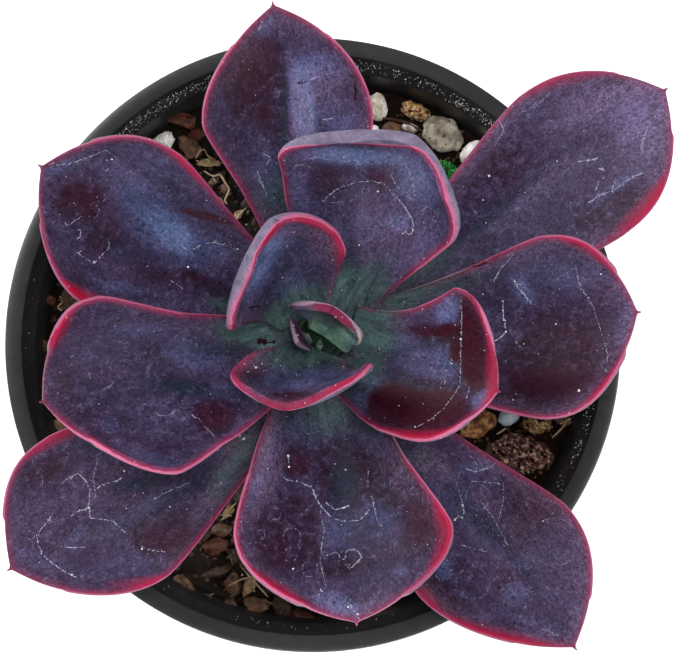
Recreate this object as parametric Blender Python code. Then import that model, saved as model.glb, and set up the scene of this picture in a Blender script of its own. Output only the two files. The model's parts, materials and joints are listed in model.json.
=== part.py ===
"""A potted echeveria: twelve fleshy leaves and a three-leaf heart in a spiral on a short stem, which
stands in bark-based potting mix in a round moulded nursery pot.

The origin is the middle of the flat pad under the pot, +Z is up, and the top of the photograph is +Y.
Lengths below are in millimetres and angles in degrees; MM turns them into metres."""

import math
import random

import bmesh
import bpy
from mathutils import Matrix, Vector

MM = 0.001
CLEAR = 0.3  # between neighbouring solids

# Pot
POT_SIDES = 40
RIM_RADIUS = 45.0
RIM_HEIGHT = 78.0
LIP_WIDTH = 2.6
SKIRT_DEPTH = 11.4
LEDGE_RADIUS = 41.6
LEDGE_DEPTH = 4.0
WALL = 1.45
WALL_TOP_RADIUS = 41.05  # inside, just under the ledge
WALL_TOP_HEIGHT = 72.8
BASE_RADIUS = 33.0
FLOOR_TOP = 3.1
FLOOR = 1.6
PAD_RADIUS = 7.0
DRAIN_HOLES = 6
DRAIN_RADIUS = 3.0
DRAIN_RING = 20.0

# Potting mix
SOIL_EDGE_HEIGHT = 68.5
SOIL_MIDDLE_HEIGHT = 66.5
BARK_CHIPS = 26

# Stem: radius at each height, from its stub in the mix to its growing point
STEM_X = 1.3
STEM_Y = 0.6
STEM_HOLE_RADIUS = 4.1
STEM_HOLE_BOTTOM = 50.0
STEM_PROFILE = (
    (2.6, 50.5),
    (3.7, 52.0),
    (3.7, 66.0),
    (3.6, 82.0),
    (3.0, 84.0),
    (2.9, 86.5),
    (2.1, 88.0),
    (1.6, 89.0),
    (0.8, 90.3),
)
STEM_TOP = 90.9

# Leaves
LEAF_STEPS = 12  # along a leaf
LEAF_LANES = 8  # across it
LEAF_MIDRIB = 3.2  # thickness in the middle of a leaf 50 mm long
POINT_HALF = 0.45  # half the width of the hard point at a leaf's tip, per mm of its length

# Each leaf grows outwards at its azimuth, anticlockwise from +X, from the height and the reach, which
# is its distance from the stem's axis. Its rise runs from the first angle at its base to the second at
# its tip. A pair gives the anticlockwise side first: the greatest half-width, the share of the length
# where it lies, how full the blade is before it (neck, turn) and after it (blunt), the half-width at
# the base as a share, and half the angle that the side is cupped through.
LEAF = {
    "reach": 4.0,
    "rise": (14, 8),
    "sweep": 0,
    "curl": 0,
    "roll": 0,
    "widest": (0.66, 0.66),
    "neck": (1.8, 1.8),
    "turn": (1.35, 1.35),
    "blunt": (2.1, 2.1),
    "base": (0.38, 0.38),
    "cup": (20, 20),
    "edge": 0.9,
    "point": 0.5,
}
LEAVES = {
    "leaf_01": {
        "azimuth": 35.5, "height": 73.2, "length": 58.5, "width": (11.9, 14.3),
        "rise": (15, 9), "widest": (0.70, 0.70), "neck": (1.8, 1.1), "blunt": (2.4, 2.7),
        "base": (0.30, 0.28),
    },
    "leaf_02": {
        "azimuth": 308.5, "height": 74.7, "length": 54.4, "width": (12.5, 13.0), "sweep": 1,
        "widest": (0.71, 0.64), "neck": (2.0, 1.0), "blunt": (2.4, 1.8), "base": (0.28, 0.34),
    },
    "leaf_03": {
        "azimuth": 97.0, "height": 76.6, "length": 45.5, "width": (13.8, 12.0), "sweep": 3,
        "rise": (18, 12), "widest": (0.66, 0.62), "neck": (2.2, 1.6), "blunt": (1.9, 2.2),
        "base": (0.36, 0.32), "cup": (22, 22),
    },
    "leaf_04": {
        "azimuth": 220.5, "height": 77.7, "length": 52.4, "width": (13.4, 13.5), "sweep": -7,
        "rise": (16, 8), "widest": (0.67, 0.72), "blunt": (2.0, 3.0),
    },
    "leaf_05": {
        "azimuth": 3.5, "height": 79.2, "length": 42.6, "width": (12.4, 15.6),
        "rise": (20, 14), "widest": (0.72, 0.70), "neck": (2.0, 1.4), "blunt": (2.8, 2.6),
        "cup": (25, 25),
    },
    "leaf_06": {
        "azimuth": 151.0, "height": 80.9, "length": 43.7, "width": (14.2, 12.8), "sweep": -3,
        "rise": (22, 15), "widest": (0.68, 0.66), "neck": (2.0, 1.6), "blunt": (1.9, 2.7),
        "base": (0.36, 0.36), "cup": (25, 25),
    },
    "leaf_07": {
        "azimuth": 277.0, "height": 82.3, "length": 39.0, "width": (16.0, 16.6),
        "rise": (24, 16), "widest": (0.74, 0.68), "neck": (2.2, 1.3), "blunt": (2.2, 2.4),
        "cup": (25, 25),
    },
    "leaf_08": {
        "azimuth": 63.5, "height": 83.7, "length": 33.0, "width": (16.2, 11.9), "reach": 3.5,
        "rise": (32, 46), "curl": 22, "widest": (0.70, 0.72), "neck": (1.1, 1.6), "turn": (1.0, 1.35),
        "blunt": (2.3, 2.6), "cup": (20, 28), "edge": 1.6, "point": 0.5,
    },
    "leaf_09": {
        "azimuth": 196.0, "height": 85.3, "length": 38.4, "width": (16.0, 13.6), "sweep": -2,
        "rise": (28, 20), "widest": (0.64, 0.76), "neck": (1.4, 2.3), "blunt": (1.6, 3.3),
        "cup": (30, 30),
    },
    "leaf_10": {
        "azimuth": 340.0, "height": 86.6, "length": 26.5, "width": (12.2, 11.0), "reach": 3.5,
        "rise": (34, 34), "widest": (0.66, 0.50), "neck": (2.4, 1.2), "turn": (1.0, 1.35),
        "blunt": (2.5, 4.6), "base": (0.45, 0.62), "cup": (22, 22), "point": 0.6,
    },
    "leaf_11": {
        "azimuth": 113.0, "height": 87.8, "length": 22.0, "width": (13.6, 7.4), "reach": 2.6,
        "rise": (42, 66), "curl": 15, "roll": 14, "widest": (0.53, 0.50), "neck": (1.2, 1.3),
        "turn": (1.0, 1.35), "blunt": (2.8, 2.6), "cup": (24, 25), "edge": 1.4, "point": 0.5,
    },
    "leaf_12": {
        "azimuth": 246.0, "height": 89.0, "length": 19.0, "width": (10.9, 8.7), "reach": 2.1,
        "rise": (56, 64), "roll": 25, "widest": (0.55, 0.66), "neck": (1.2, 1.4), "turn": (1.0, 1.35),
        "blunt": (3.6, 3.4), "cup": (18, 18), "point": 0.5,
    },
    "heart_leaf_01": {
        "azimuth": 57.0, "height": 91.7, "length": 8.6, "width": (5.2, 5.5), "reach": -0.6,
        "rise": (60, 80), "roll": 9, "widest": (0.62, 0.55), "base": (0.4, 0.86), "blunt": (2.4, 3.0),
        "cup": (12, 12), "edge": 1.3, "point": 0.4,
    },
    "heart_leaf_02": {
        "azimuth": 212.0, "height": 91.0, "length": 6.4, "width": (1.6, 3.5), "reach": 1.6,
        "rise": (68, 82), "widest": (0.45, 0.6), "base": (0.4, 0.24), "blunt": (1.4, 2.4),
        "cup": (8, 8), "edge": 0.5, "point": 0.3,
    },
    "heart_leaf_03": {
        "azimuth": 264.0, "height": 91.3, "length": 4.2, "width": (0.45, 0.45), "reach": 1.0,
        "rise": (64, 82), "widest": (0.5, 0.5), "blunt": (2.0, 2.0), "cup": (10, 10), "edge": 0.4,
        "point": 0.2,
    },
}

# Stones on the mix: middle x and y, half-sizes, turn about the vertical, and seed
STONES = {
    "pumice_chip": (-23.0, 30.6, 2.2, 1.4, 1.3, 40, 1),
    "beige_pebble": (9.6, 36.3, 1.5, 2.1, 1.4, 10, 2),
    "white_chip": (9.0, 32.6, 1.1, 0.9, 0.8, 20, 3),
    "tan_chip": (15.4, 35.6, 2.3, 1.3, 1.6, -25, 4),
    "grit_pebble": (14.6, 33.0, 1.3, 0.8, 0.9, -10, 5),
    "grey_pebble": (19.5, 32.0, 3.2, 2.6, 2.2, -33, 6),
    "white_pebble": (24.4, 28.7, 2.4, 2.2, 2.2, 40, 7),
    "moss_tuft": (19.6, 26.8, 3.0, 1.4, 0.9, -15, 8),
    "pale_pebble": (29.3, -10.8, 1.6, 1.2, 1.1, 15, 9),
    "rust_chip": (24.6, -11.8, 3.0, 1.9, 1.4, 20, 10),
    "golden_chip": (33.6, -11.9, 2.2, 1.4, 1.2, -5, 11),
    "lava_rock": (31.2, -16.2, 4.6, 2.8, 2.6, -15, 12),
    "slate_pebble": (30.6, -20.4, 2.6, 1.1, 1.0, -20, 13),
    "sand_pebble": (9.9, -37.0, 2.4, 1.4, 1.3, 20, 14),
}
STONE_SUNK = 0.3  # how far a stone's middle stands over the mix, as a share of its half-height

# Base colours, roughness
FINISHES = {
    "pot_plastic": ((0.012, 0.012, 0.013), 0.45),
    "bark_mix": ((0.035, 0.018, 0.010), 0.9),
    "stem_skin": ((0.10, 0.22, 0.12), 0.6),
    "leaf_skin": ((0.060, 0.022, 0.060), 0.45),
    "heart_skin": ((0.07, 0.16, 0.10), 0.45),
    "white_stone": ((0.70, 0.66, 0.60), 0.85),
    "grey_stone": ((0.30, 0.26, 0.22), 0.8),
    "golden_stone": ((0.42, 0.24, 0.09), 0.8),
    "lava_stone": ((0.12, 0.06, 0.045), 0.95),
    "moss": ((0.02, 0.16, 0.03), 0.9),
}
STONE_FINISH = {
    "pumice_chip": "white_stone",
    "beige_pebble": "white_stone",
    "white_chip": "white_stone",
    "tan_chip": "golden_stone",
    "grit_pebble": "grey_stone",
    "grey_pebble": "grey_stone",
    "white_pebble": "white_stone",
    "moss_tuft": "moss",
    "pale_pebble": "white_stone",
    "rust_chip": "golden_stone",
    "golden_chip": "golden_stone",
    "lava_rock": "lava_stone",
    "slate_pebble": "grey_stone",
    "sand_pebble": "white_stone",
}


def clamp(value, low=0.0, high=1.0):
    return min(max(value, low), high)


def finish(name):
    """The Principled BSDF material of that name, made once."""
    if name in bpy.data.materials:
        return bpy.data.materials[name]
    colour, roughness = FINISHES[name]
    material = bpy.data.materials.new(name)
    material.use_nodes = True
    shader = material.node_tree.nodes["Principled BSDF"]
    shader.inputs["Base Color"].default_value = (*colour, 1.0)
    shader.inputs["Roughness"].default_value = roughness
    shader.inputs["Metallic"].default_value = 0.0
    return material


def solid(name, points, faces, finish_name, smooth=True):
    """An object from points in millimetres and faces whose normals point out."""
    mesh = bpy.data.meshes.new(name)
    mesh.from_pydata([Vector(point) * MM for point in points], [], faces)
    mesh.materials.append(finish(finish_name))
    if smooth:
        mesh.shade_smooth()
        mesh.set_sharp_from_angle(angle=math.radians(50))
    part = bpy.data.objects.new(name, mesh)
    bpy.context.collection.objects.link(part)
    return part


def turned(name, profile, sides, finish_name, middle=(0.0, 0.0), height_at=None):
    """A solid of revolution about a vertical axis. The profile's (radius, height) points run from the
    axis out and back to it, so that the material lies to their right; height_at shapes a point's height."""
    points, rings, faces = [], [], []
    for radius, height in profile:
        count = 1 if radius == 0 else sides
        rings.append((len(points), count))
        for side in range(count):
            angle = 2 * math.pi * side / sides
            x, y = radius * math.cos(angle), radius * math.sin(angle)
            z = height_at(x, y, height) if height_at else height
            points.append((middle[0] + x, middle[1] + y, z))
    for (first, count), (next_first, next_count) in zip(rings, rings[1:]):
        for side in range(sides):
            ahead = (side + 1) % sides
            here = [first + ahead % count, first + side % count]
            there = [next_first + side % next_count, next_first + ahead % next_count]
            if count == 1:
                here = here[:1]
            if next_count == 1:
                there = there[:1]
            faces.append(here + there)
    return solid(name, points, faces, finish_name)


def cut(part, cutters, operation="DIFFERENCE"):
    """Applies one Boolean with a group of operands, and removes them."""
    group = bpy.data.collections.new("operands")
    bpy.context.scene.collection.children.link(group)
    for cutter in cutters:
        bpy.context.collection.objects.unlink(cutter)
        group.objects.link(cutter)
        cutter.hide_render = True
        cutter.display_type = "WIRE"
    boolean = part.modifiers.new("boolean", "BOOLEAN")
    boolean.operation = operation
    boolean.solver = "EXACT"
    boolean.operand_type = "COLLECTION"
    boolean.collection = group
    bpy.context.view_layer.update()
    evaluated = part.evaluated_get(bpy.context.evaluated_depsgraph_get())
    mesh = bpy.data.meshes.new_from_object(evaluated)
    part.modifiers.clear()
    part.data = mesh
    mesh.name = part.name
    for cutter in cutters:
        bpy.data.objects.remove(cutter)
    bpy.data.collections.remove(group)


def wall_radius(height):
    """The inner radius of the pot's tapered wall."""
    foot_radius, foot_height = BASE_RADIUS - 1.1, FLOOR_TOP + 1.2
    share = (height - foot_height) / (WALL_TOP_HEIGHT - foot_height)
    return foot_radius + (WALL_TOP_RADIUS - foot_radius) * share


def build_pot():
    lip_inner = RIM_RADIUS - LIP_WIDTH
    under_skirt = RIM_HEIGHT - SKIRT_DEPTH
    under_ledge = WALL_TOP_HEIGHT + 0.4
    profile = (
        (0, FLOOR_TOP),
        (DRAIN_RING - DRAIN_RADIUS - 1, FLOOR_TOP),
        (DRAIN_RING + DRAIN_RADIUS + 1, FLOOR_TOP),
        (BASE_RADIUS - 2.1, FLOOR_TOP),
        (BASE_RADIUS - 1.1, FLOOR_TOP + 1.2),
        (WALL_TOP_RADIUS, WALL_TOP_HEIGHT),
        (WALL_TOP_RADIUS + 0.25, RIM_HEIGHT - LEDGE_DEPTH - 0.3),
        (LEDGE_RADIUS, RIM_HEIGHT - LEDGE_DEPTH),
        (lip_inner, RIM_HEIGHT - 0.45),
        (lip_inner + 0.15, RIM_HEIGHT - 0.12),
        (lip_inner + 0.45, RIM_HEIGHT),
        (RIM_RADIUS - 0.45, RIM_HEIGHT),
        (RIM_RADIUS - 0.12, RIM_HEIGHT - 0.15),
        (RIM_RADIUS, RIM_HEIGHT - 0.5),
        (RIM_RADIUS - 0.5, under_skirt + 0.3),
        (RIM_RADIUS - 0.8, under_skirt),
        (RIM_RADIUS - 1.5, under_skirt),
        (RIM_RADIUS - 1.3, under_ledge),
        (WALL_TOP_RADIUS + WALL, under_ledge),
        (BASE_RADIUS, 1.0),
        (BASE_RADIUS - 0.3, 0.3),
        (BASE_RADIUS - 0.8, 0),
        (BASE_RADIUS - 3.4, 0),
        (BASE_RADIUS - 3.8, FLOOR_TOP - FLOOR),
        (DRAIN_RING + DRAIN_RADIUS + 1, FLOOR_TOP - FLOOR),
        (DRAIN_RING - DRAIN_RADIUS - 1, FLOOR_TOP - FLOOR),
        (PAD_RADIUS + 0.5, FLOOR_TOP - FLOOR),
        (PAD_RADIUS, 0),
        (0, 0),
    )
    pot = turned("pot", profile, POT_SIDES, "pot_plastic")
    drains = []
    for hole in range(DRAIN_HOLES):
        angle = 2 * math.pi * (hole + 0.5) / DRAIN_HOLES
        middle = (DRAIN_RING * math.cos(angle), DRAIN_RING * math.sin(angle))
        drill = ((0, FLOOR_TOP + 1), (DRAIN_RADIUS, FLOOR_TOP + 1), (DRAIN_RADIUS, 0.5), (0, 0.5))
        drains.append(turned("drain", drill, 14, "pot_plastic", middle))
    cut(pot, drains)


def soil_top(radius):
    """The height of the mix, which sinks towards the stem."""
    share = radius / wall_radius(SOIL_EDGE_HEIGHT)
    return SOIL_MIDDLE_HEIGHT + (SOIL_EDGE_HEIGHT - SOIL_MIDDLE_HEIGHT) * share**2


def rolling(x, y, height):
    """The top of the mix rolls gently."""
    if height < SOIL_MIDDLE_HEIGHT:
        return height
    return height + 0.35 * math.sin(0.31 * x + 1.0) * math.cos(0.27 * y - 0.5)


def stone_mesh(name, stone, grow=0.0):
    """A broken or rolled stone: a ball of 80 triangles, stretched, turned and roughened by its seed."""
    x, y, long_half, short_half, high_half, turn, seed = stone
    dice = random.Random(seed)
    ball = bmesh.new()
    bmesh.ops.create_icosphere(ball, subdivisions=2, radius=1.0)
    halves = [long_half + grow, short_half + grow, high_half + grow]
    spin = Matrix.Rotation(math.radians(turn), 3, "Z")
    middle = Vector((x, y, rolling(x, y, soil_top(math.hypot(x, y))) + STONE_SUNK * high_half))
    for vertex in ball.verts:
        rough = 1 + dice.uniform(-0.07, 0.07)
        point = spin @ Vector([vertex.co[axis] * halves[axis] * rough for axis in range(3)])
        vertex.co = (point + middle) * MM
    mesh = bpy.data.meshes.new(name)
    ball.to_mesh(mesh)
    ball.free()
    mesh.materials.append(finish(STONE_FINISH[name]))
    mesh.shade_smooth()
    mesh.set_sharp_from_angle(angle=math.radians(35))
    part = bpy.data.objects.new(name, mesh)
    bpy.context.collection.objects.link(part)
    return part


def clear_of_stones(x, y, reach):
    for stone in STONES.values():
        if math.hypot(x - stone[0], y - stone[1]) < stone[2] + reach:
            return False
    return math.hypot(x - STEM_X, y - STEM_Y) > STEM_HOLE_RADIUS + reach


def bark_chips(count):
    """Flat chips of bark, half sunk in the mix and clear of the stones, the stem and the wall."""
    dice = random.Random(20)
    chips = []
    while len(chips) < count:
        radius, angle = dice.uniform(24, 35), dice.uniform(0, 2 * math.pi)
        x, y = radius * math.cos(angle), radius * math.sin(angle)
        length = dice.uniform(4, 7)
        if not clear_of_stones(x, y, length / 2 + 1):
            continue
        chip = bmesh.new()
        bmesh.ops.create_cube(chip, size=1.0)
        size = Matrix.Diagonal((length, dice.uniform(1.8, 3), 2.6, 1))
        tilt = Matrix.Rotation(math.radians(dice.uniform(-14, 14)), 4, "Y")
        turn = Matrix.Rotation(dice.uniform(0, 2 * math.pi), 4, "Z")
        place = Matrix.Translation((x, y, soil_top(radius)))
        bmesh.ops.transform(chip, matrix=Matrix.Scale(MM, 4) @ place @ turn @ tilt @ size, verts=chip.verts)
        mesh = bpy.data.meshes.new("chip")
        chip.to_mesh(mesh)
        chip.free()
        part = bpy.data.objects.new("chip", mesh)
        bpy.context.collection.objects.link(part)
        chips.append(part)
    return chips


def build_soil():
    foot = FLOOR_TOP + CLEAR
    edge = wall_radius(SOIL_EDGE_HEIGHT) - CLEAR
    profile = [(0, SOIL_MIDDLE_HEIGHT)]
    for share in (0.15, 0.35, 0.55, 0.75, 0.9, 1.0):
        profile.append((edge * share, soil_top(edge * share)))
    profile.append((wall_radius(SOIL_EDGE_HEIGHT - 1.2) - CLEAR - 0.05, SOIL_MIDDLE_HEIGHT - 0.2))
    profile.append((wall_radius(foot + 1.2) - CLEAR, foot + 1.2))
    profile.append((BASE_RADIUS - 2.1 - CLEAR, foot))
    profile.append((0, foot))
    soil = turned("soil", profile, POT_SIDES, "bark_mix", height_at=rolling)
    cut(soil, bark_chips(BARK_CHIPS), "UNION")
    top = RIM_HEIGHT
    drill = (
        (0, top),
        (STEM_HOLE_RADIUS, top),
        (STEM_HOLE_RADIUS, STEM_HOLE_BOTTOM + 2),
        (STEM_HOLE_RADIUS - 1.4, STEM_HOLE_BOTTOM),
        (0, STEM_HOLE_BOTTOM),
    )
    dimples = [stone_mesh(name, stone, grow=0.35) for name, stone in STONES.items()]
    cut(soil, dimples + [turned("drill", drill, 20, "bark_mix", (STEM_X, STEM_Y))])


def build_stem():
    profile = [(0, STEM_TOP)] + list(reversed(STEM_PROFILE)) + [(0, STEM_PROFILE[0][1])]
    turned("stem", profile, 16, "stem_skin", (STEM_X, STEM_Y))


def half_width(leaf, side, along):
    """Half the blade's width on one side, at a share of the blade's length."""
    widest, base = leaf["widest"][side], leaf["base"][side]
    if along < widest:
        grown = 1 - (1 - (along / widest) ** leaf["neck"][side]) ** leaf["turn"][side]
        share = base + (1 - base) * grown
    else:
        share = 1 - clamp((along - widest) / (1 - widest)) ** leaf["blunt"][side]
    return leaf["width"][side] * share


def midrib(leaf, steps):
    """The point, direction, anticlockwise side and upward normal at each step along the midrib."""
    azimuth = math.radians(leaf["azimuth"])
    out = Vector((math.cos(azimuth), math.sin(azimuth), 0))
    place = Vector((STEM_X, STEM_Y, leaf["height"])) + out * leaf["reach"]
    frames, travelled = [], 0.0
    fine = 240
    directions = []
    for index in range(fine + 1):
        share = index / fine
        rise = leaf["rise"][0] + (leaf["rise"][1] - leaf["rise"][0]) * share
        rise = math.radians(rise + leaf["curl"] * clamp((share - 0.6) / 0.4))
        yaw = math.radians(leaf["azimuth"] + leaf["sweep"] * (2 * share - 0.5))
        level = Vector((math.cos(yaw), math.sin(yaw), 0))
        directions.append((level * math.cos(rise) + Vector((0, 0, math.sin(rise))), yaw))
    places = [place]
    for (before, _), (after, _) in zip(directions, directions[1:]):
        places.append(places[-1] + (before + after) * (0.5 * leaf["length"] / fine))
    for share in steps:
        index = round(share * fine)
        direction, yaw = directions[index]
        side = Vector((-math.sin(yaw), math.cos(yaw), 0))
        normal = direction.cross(side)
        roll = math.radians(leaf["roll"]) * clamp(share / 0.6) ** 1.5
        rolled_side = side * math.cos(roll) + normal * math.sin(roll)
        rolled_normal = normal * math.cos(roll) - side * math.sin(roll)
        frames.append((places[index], direction, rolled_side, rolled_normal))
    return frames


def blade_point(leaf, frame, share, across):
    """A point of the upper face: across runs from -1 on the clockwise edge to 1 on the other."""
    side = 0 if across >= 0 else 1
    place, _, sideways, normal = frame
    wide = half_width(leaf, side, share / (1 - leaf["point"] / leaf["length"]))
    point_half = POINT_HALF * leaf["point"] * clamp((1 - share) * leaf["length"] / leaf["point"], 0.5, 1)
    wide = max(wide, point_half)
    cup = math.radians(leaf["cup"][side]) * clamp(share / 0.45, 0.25)
    cup *= clamp(2 * wide / leaf["width"][0])
    bend = 2 * cup * abs(across)
    level = math.copysign(wide * math.sin(bend) / (2 * cup), across)
    return place + sideways * level + normal * (wide * (1 - math.cos(bend)) / (2 * cup))


def blade_depth(leaf, share, across):
    """The leaf's thickness: fleshy along the midrib and blunt at the margin."""
    middle = LEAF_MIDRIB * math.sqrt(leaf["length"] / 50)
    body = (middle - leaf["edge"]) * (1 - abs(across) ** 2.2)
    return leaf["edge"] + body * clamp(1.15 - 0.6 * share**2, 0.3, 1.2) * math.sqrt(clamp((1 - share) / 0.12))


def build_leaf(name, leaf, finish_name, steps, lanes):
    """One closed solid: an upper and a lower sheet of the same triangles, joined around the margin."""
    leaf = {**LEAF, **leaf}
    shares = [1 - (1 - index / steps) ** 1.25 for index in range(steps + 1)]
    frames = midrib(leaf, shares)
    across = [math.sin(math.pi / 2 * (2 * lane / lanes - 1)) for lane in range(lanes + 1)]
    upper = [[blade_point(leaf, frame, share, t) for t in across] for frame, share in zip(frames, shares)]
    lower = []
    for row, share in enumerate(shares):
        line = []
        for lane, t in enumerate(across):
            ahead = upper[min(row + 1, steps)][lane] - upper[max(row - 1, 0)][lane]
            over = upper[row][min(lane + 1, lanes)] - upper[row][max(lane - 1, 0)]
            normal = ahead.cross(over).normalized()
            line.append(upper[row][lane] - normal * blade_depth(leaf, share, t))
        lower.append(line)
    points = [point for line in upper for point in line] + [point for line in lower for point in line]
    width, half = lanes + 1, (lanes + 1) * (steps + 1)
    faces = []
    for row in range(steps):
        for lane in range(lanes):
            a, b = row * width + lane, row * width + lane + 1
            c, d = a + width, b + width
            faces += [(a, d, b), (a, c, d), (half + a, half + b, half + d), (half + a, half + d, half + c)]
    loop = list(range(width))
    loop += [row * width + lanes for row in range(1, steps + 1)]
    loop += [steps * width + lane for lane in range(lanes - 1, -1, -1)]
    loop += [row * width for row in range(steps - 1, 0, -1)]
    for here, there in zip(loop, loop[1:] + loop[:1]):
        faces.append((here, there, half + there))
        faces.append((here, half + there, half + here))
    return solid(name, points, faces, finish_name)


def build_leaves():
    for name, leaf in LEAVES.items():
        if name.startswith("heart"):
            build_leaf(name, leaf, "heart_skin", 7, 4)
        else:
            build_leaf(name, leaf, "leaf_skin", LEAF_STEPS, LEAF_LANES)


def build_stones():
    for name, stone in STONES.items():
        stone_mesh(name, stone)


def main():
    for leftover in list(bpy.data.objects):
        bpy.data.objects.remove(leftover)
    build_pot()
    build_soil()
    build_stem()
    build_leaves()
    build_stones()


main()
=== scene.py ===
"""The looks of the potted echeveria: dark plum leaves with crimson margins and a veil of wax, bark mix
with stones, and a black nursery pot. Lengths are in millimetres and angles in degrees until MM turns
them into metres. Marks on the leaves are placed by pixels of the 679 x 653 photograph, through its
camera, onto the leaf that carries them."""

import json
import math
import random

import bmesh
import bpy
import numpy as np
from mathutils import Matrix, Vector, noise
from mathutils.bvhtree import BVHTree

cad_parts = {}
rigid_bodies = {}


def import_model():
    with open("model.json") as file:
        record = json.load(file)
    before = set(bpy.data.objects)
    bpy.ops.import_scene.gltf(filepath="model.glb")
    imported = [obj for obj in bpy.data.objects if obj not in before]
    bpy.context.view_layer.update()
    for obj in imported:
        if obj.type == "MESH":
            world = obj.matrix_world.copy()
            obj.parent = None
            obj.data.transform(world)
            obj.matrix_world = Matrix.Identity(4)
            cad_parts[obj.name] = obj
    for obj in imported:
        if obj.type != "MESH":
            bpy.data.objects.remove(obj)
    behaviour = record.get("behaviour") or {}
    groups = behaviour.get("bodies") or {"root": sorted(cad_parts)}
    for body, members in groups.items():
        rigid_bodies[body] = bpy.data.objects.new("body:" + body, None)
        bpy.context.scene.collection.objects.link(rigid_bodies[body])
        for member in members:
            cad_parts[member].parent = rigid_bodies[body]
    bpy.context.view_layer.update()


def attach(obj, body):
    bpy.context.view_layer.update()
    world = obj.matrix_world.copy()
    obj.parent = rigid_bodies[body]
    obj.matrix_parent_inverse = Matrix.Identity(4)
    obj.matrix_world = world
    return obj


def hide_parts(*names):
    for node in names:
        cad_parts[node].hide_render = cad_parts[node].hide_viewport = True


MM = 0.001

# Camera: its distance from the plane of the rim, its lean towards the viewer, and the point it aims at
PHOTO_WIDE, PHOTO_HIGH = 679, 653
PIXELS_PER_MM = 6.849
CAMERA_AWAY = 300.0
CAMERA_LEAN = 4.0
CAMERA_AIM = Vector((3.9, 2.23, 78.0))

# Pot
RIM_RADIUS, RIM_HEIGHT, LIP_WIDTH, SKIRT_DEPTH = 45.0, 78.0, 2.6, 11.4
LEDGE_RADIUS, LEDGE_DEPTH = 41.6, 4.0
WALL, WALL_TOP_RADIUS, WALL_TOP_HEIGHT = 1.45, 41.05, 72.8
BASE_RADIUS, FLOOR_TOP, FLOOR, PAD_RADIUS = 33.0, 3.1, 1.6, 7.0
DRAIN_HOLES, DRAIN_RADIUS, DRAIN_RING = 6, 3.0, 20.0
SOIL_EDGE_HEIGHT, SOIL_MIDDLE_HEIGHT = 68.5, 66.5

# Stem
STEM_X, STEM_Y, STEM_TOP = 1.3, 0.6, 90.9
STEM_PROFILE = (
    (2.6, 50.5), (3.7, 52.0), (3.7, 66.0), (3.6, 82.0), (3.0, 84.0), (2.9, 86.5), (2.1, 88.0),
    (1.6, 89.0), (0.8, 90.3),
)

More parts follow.
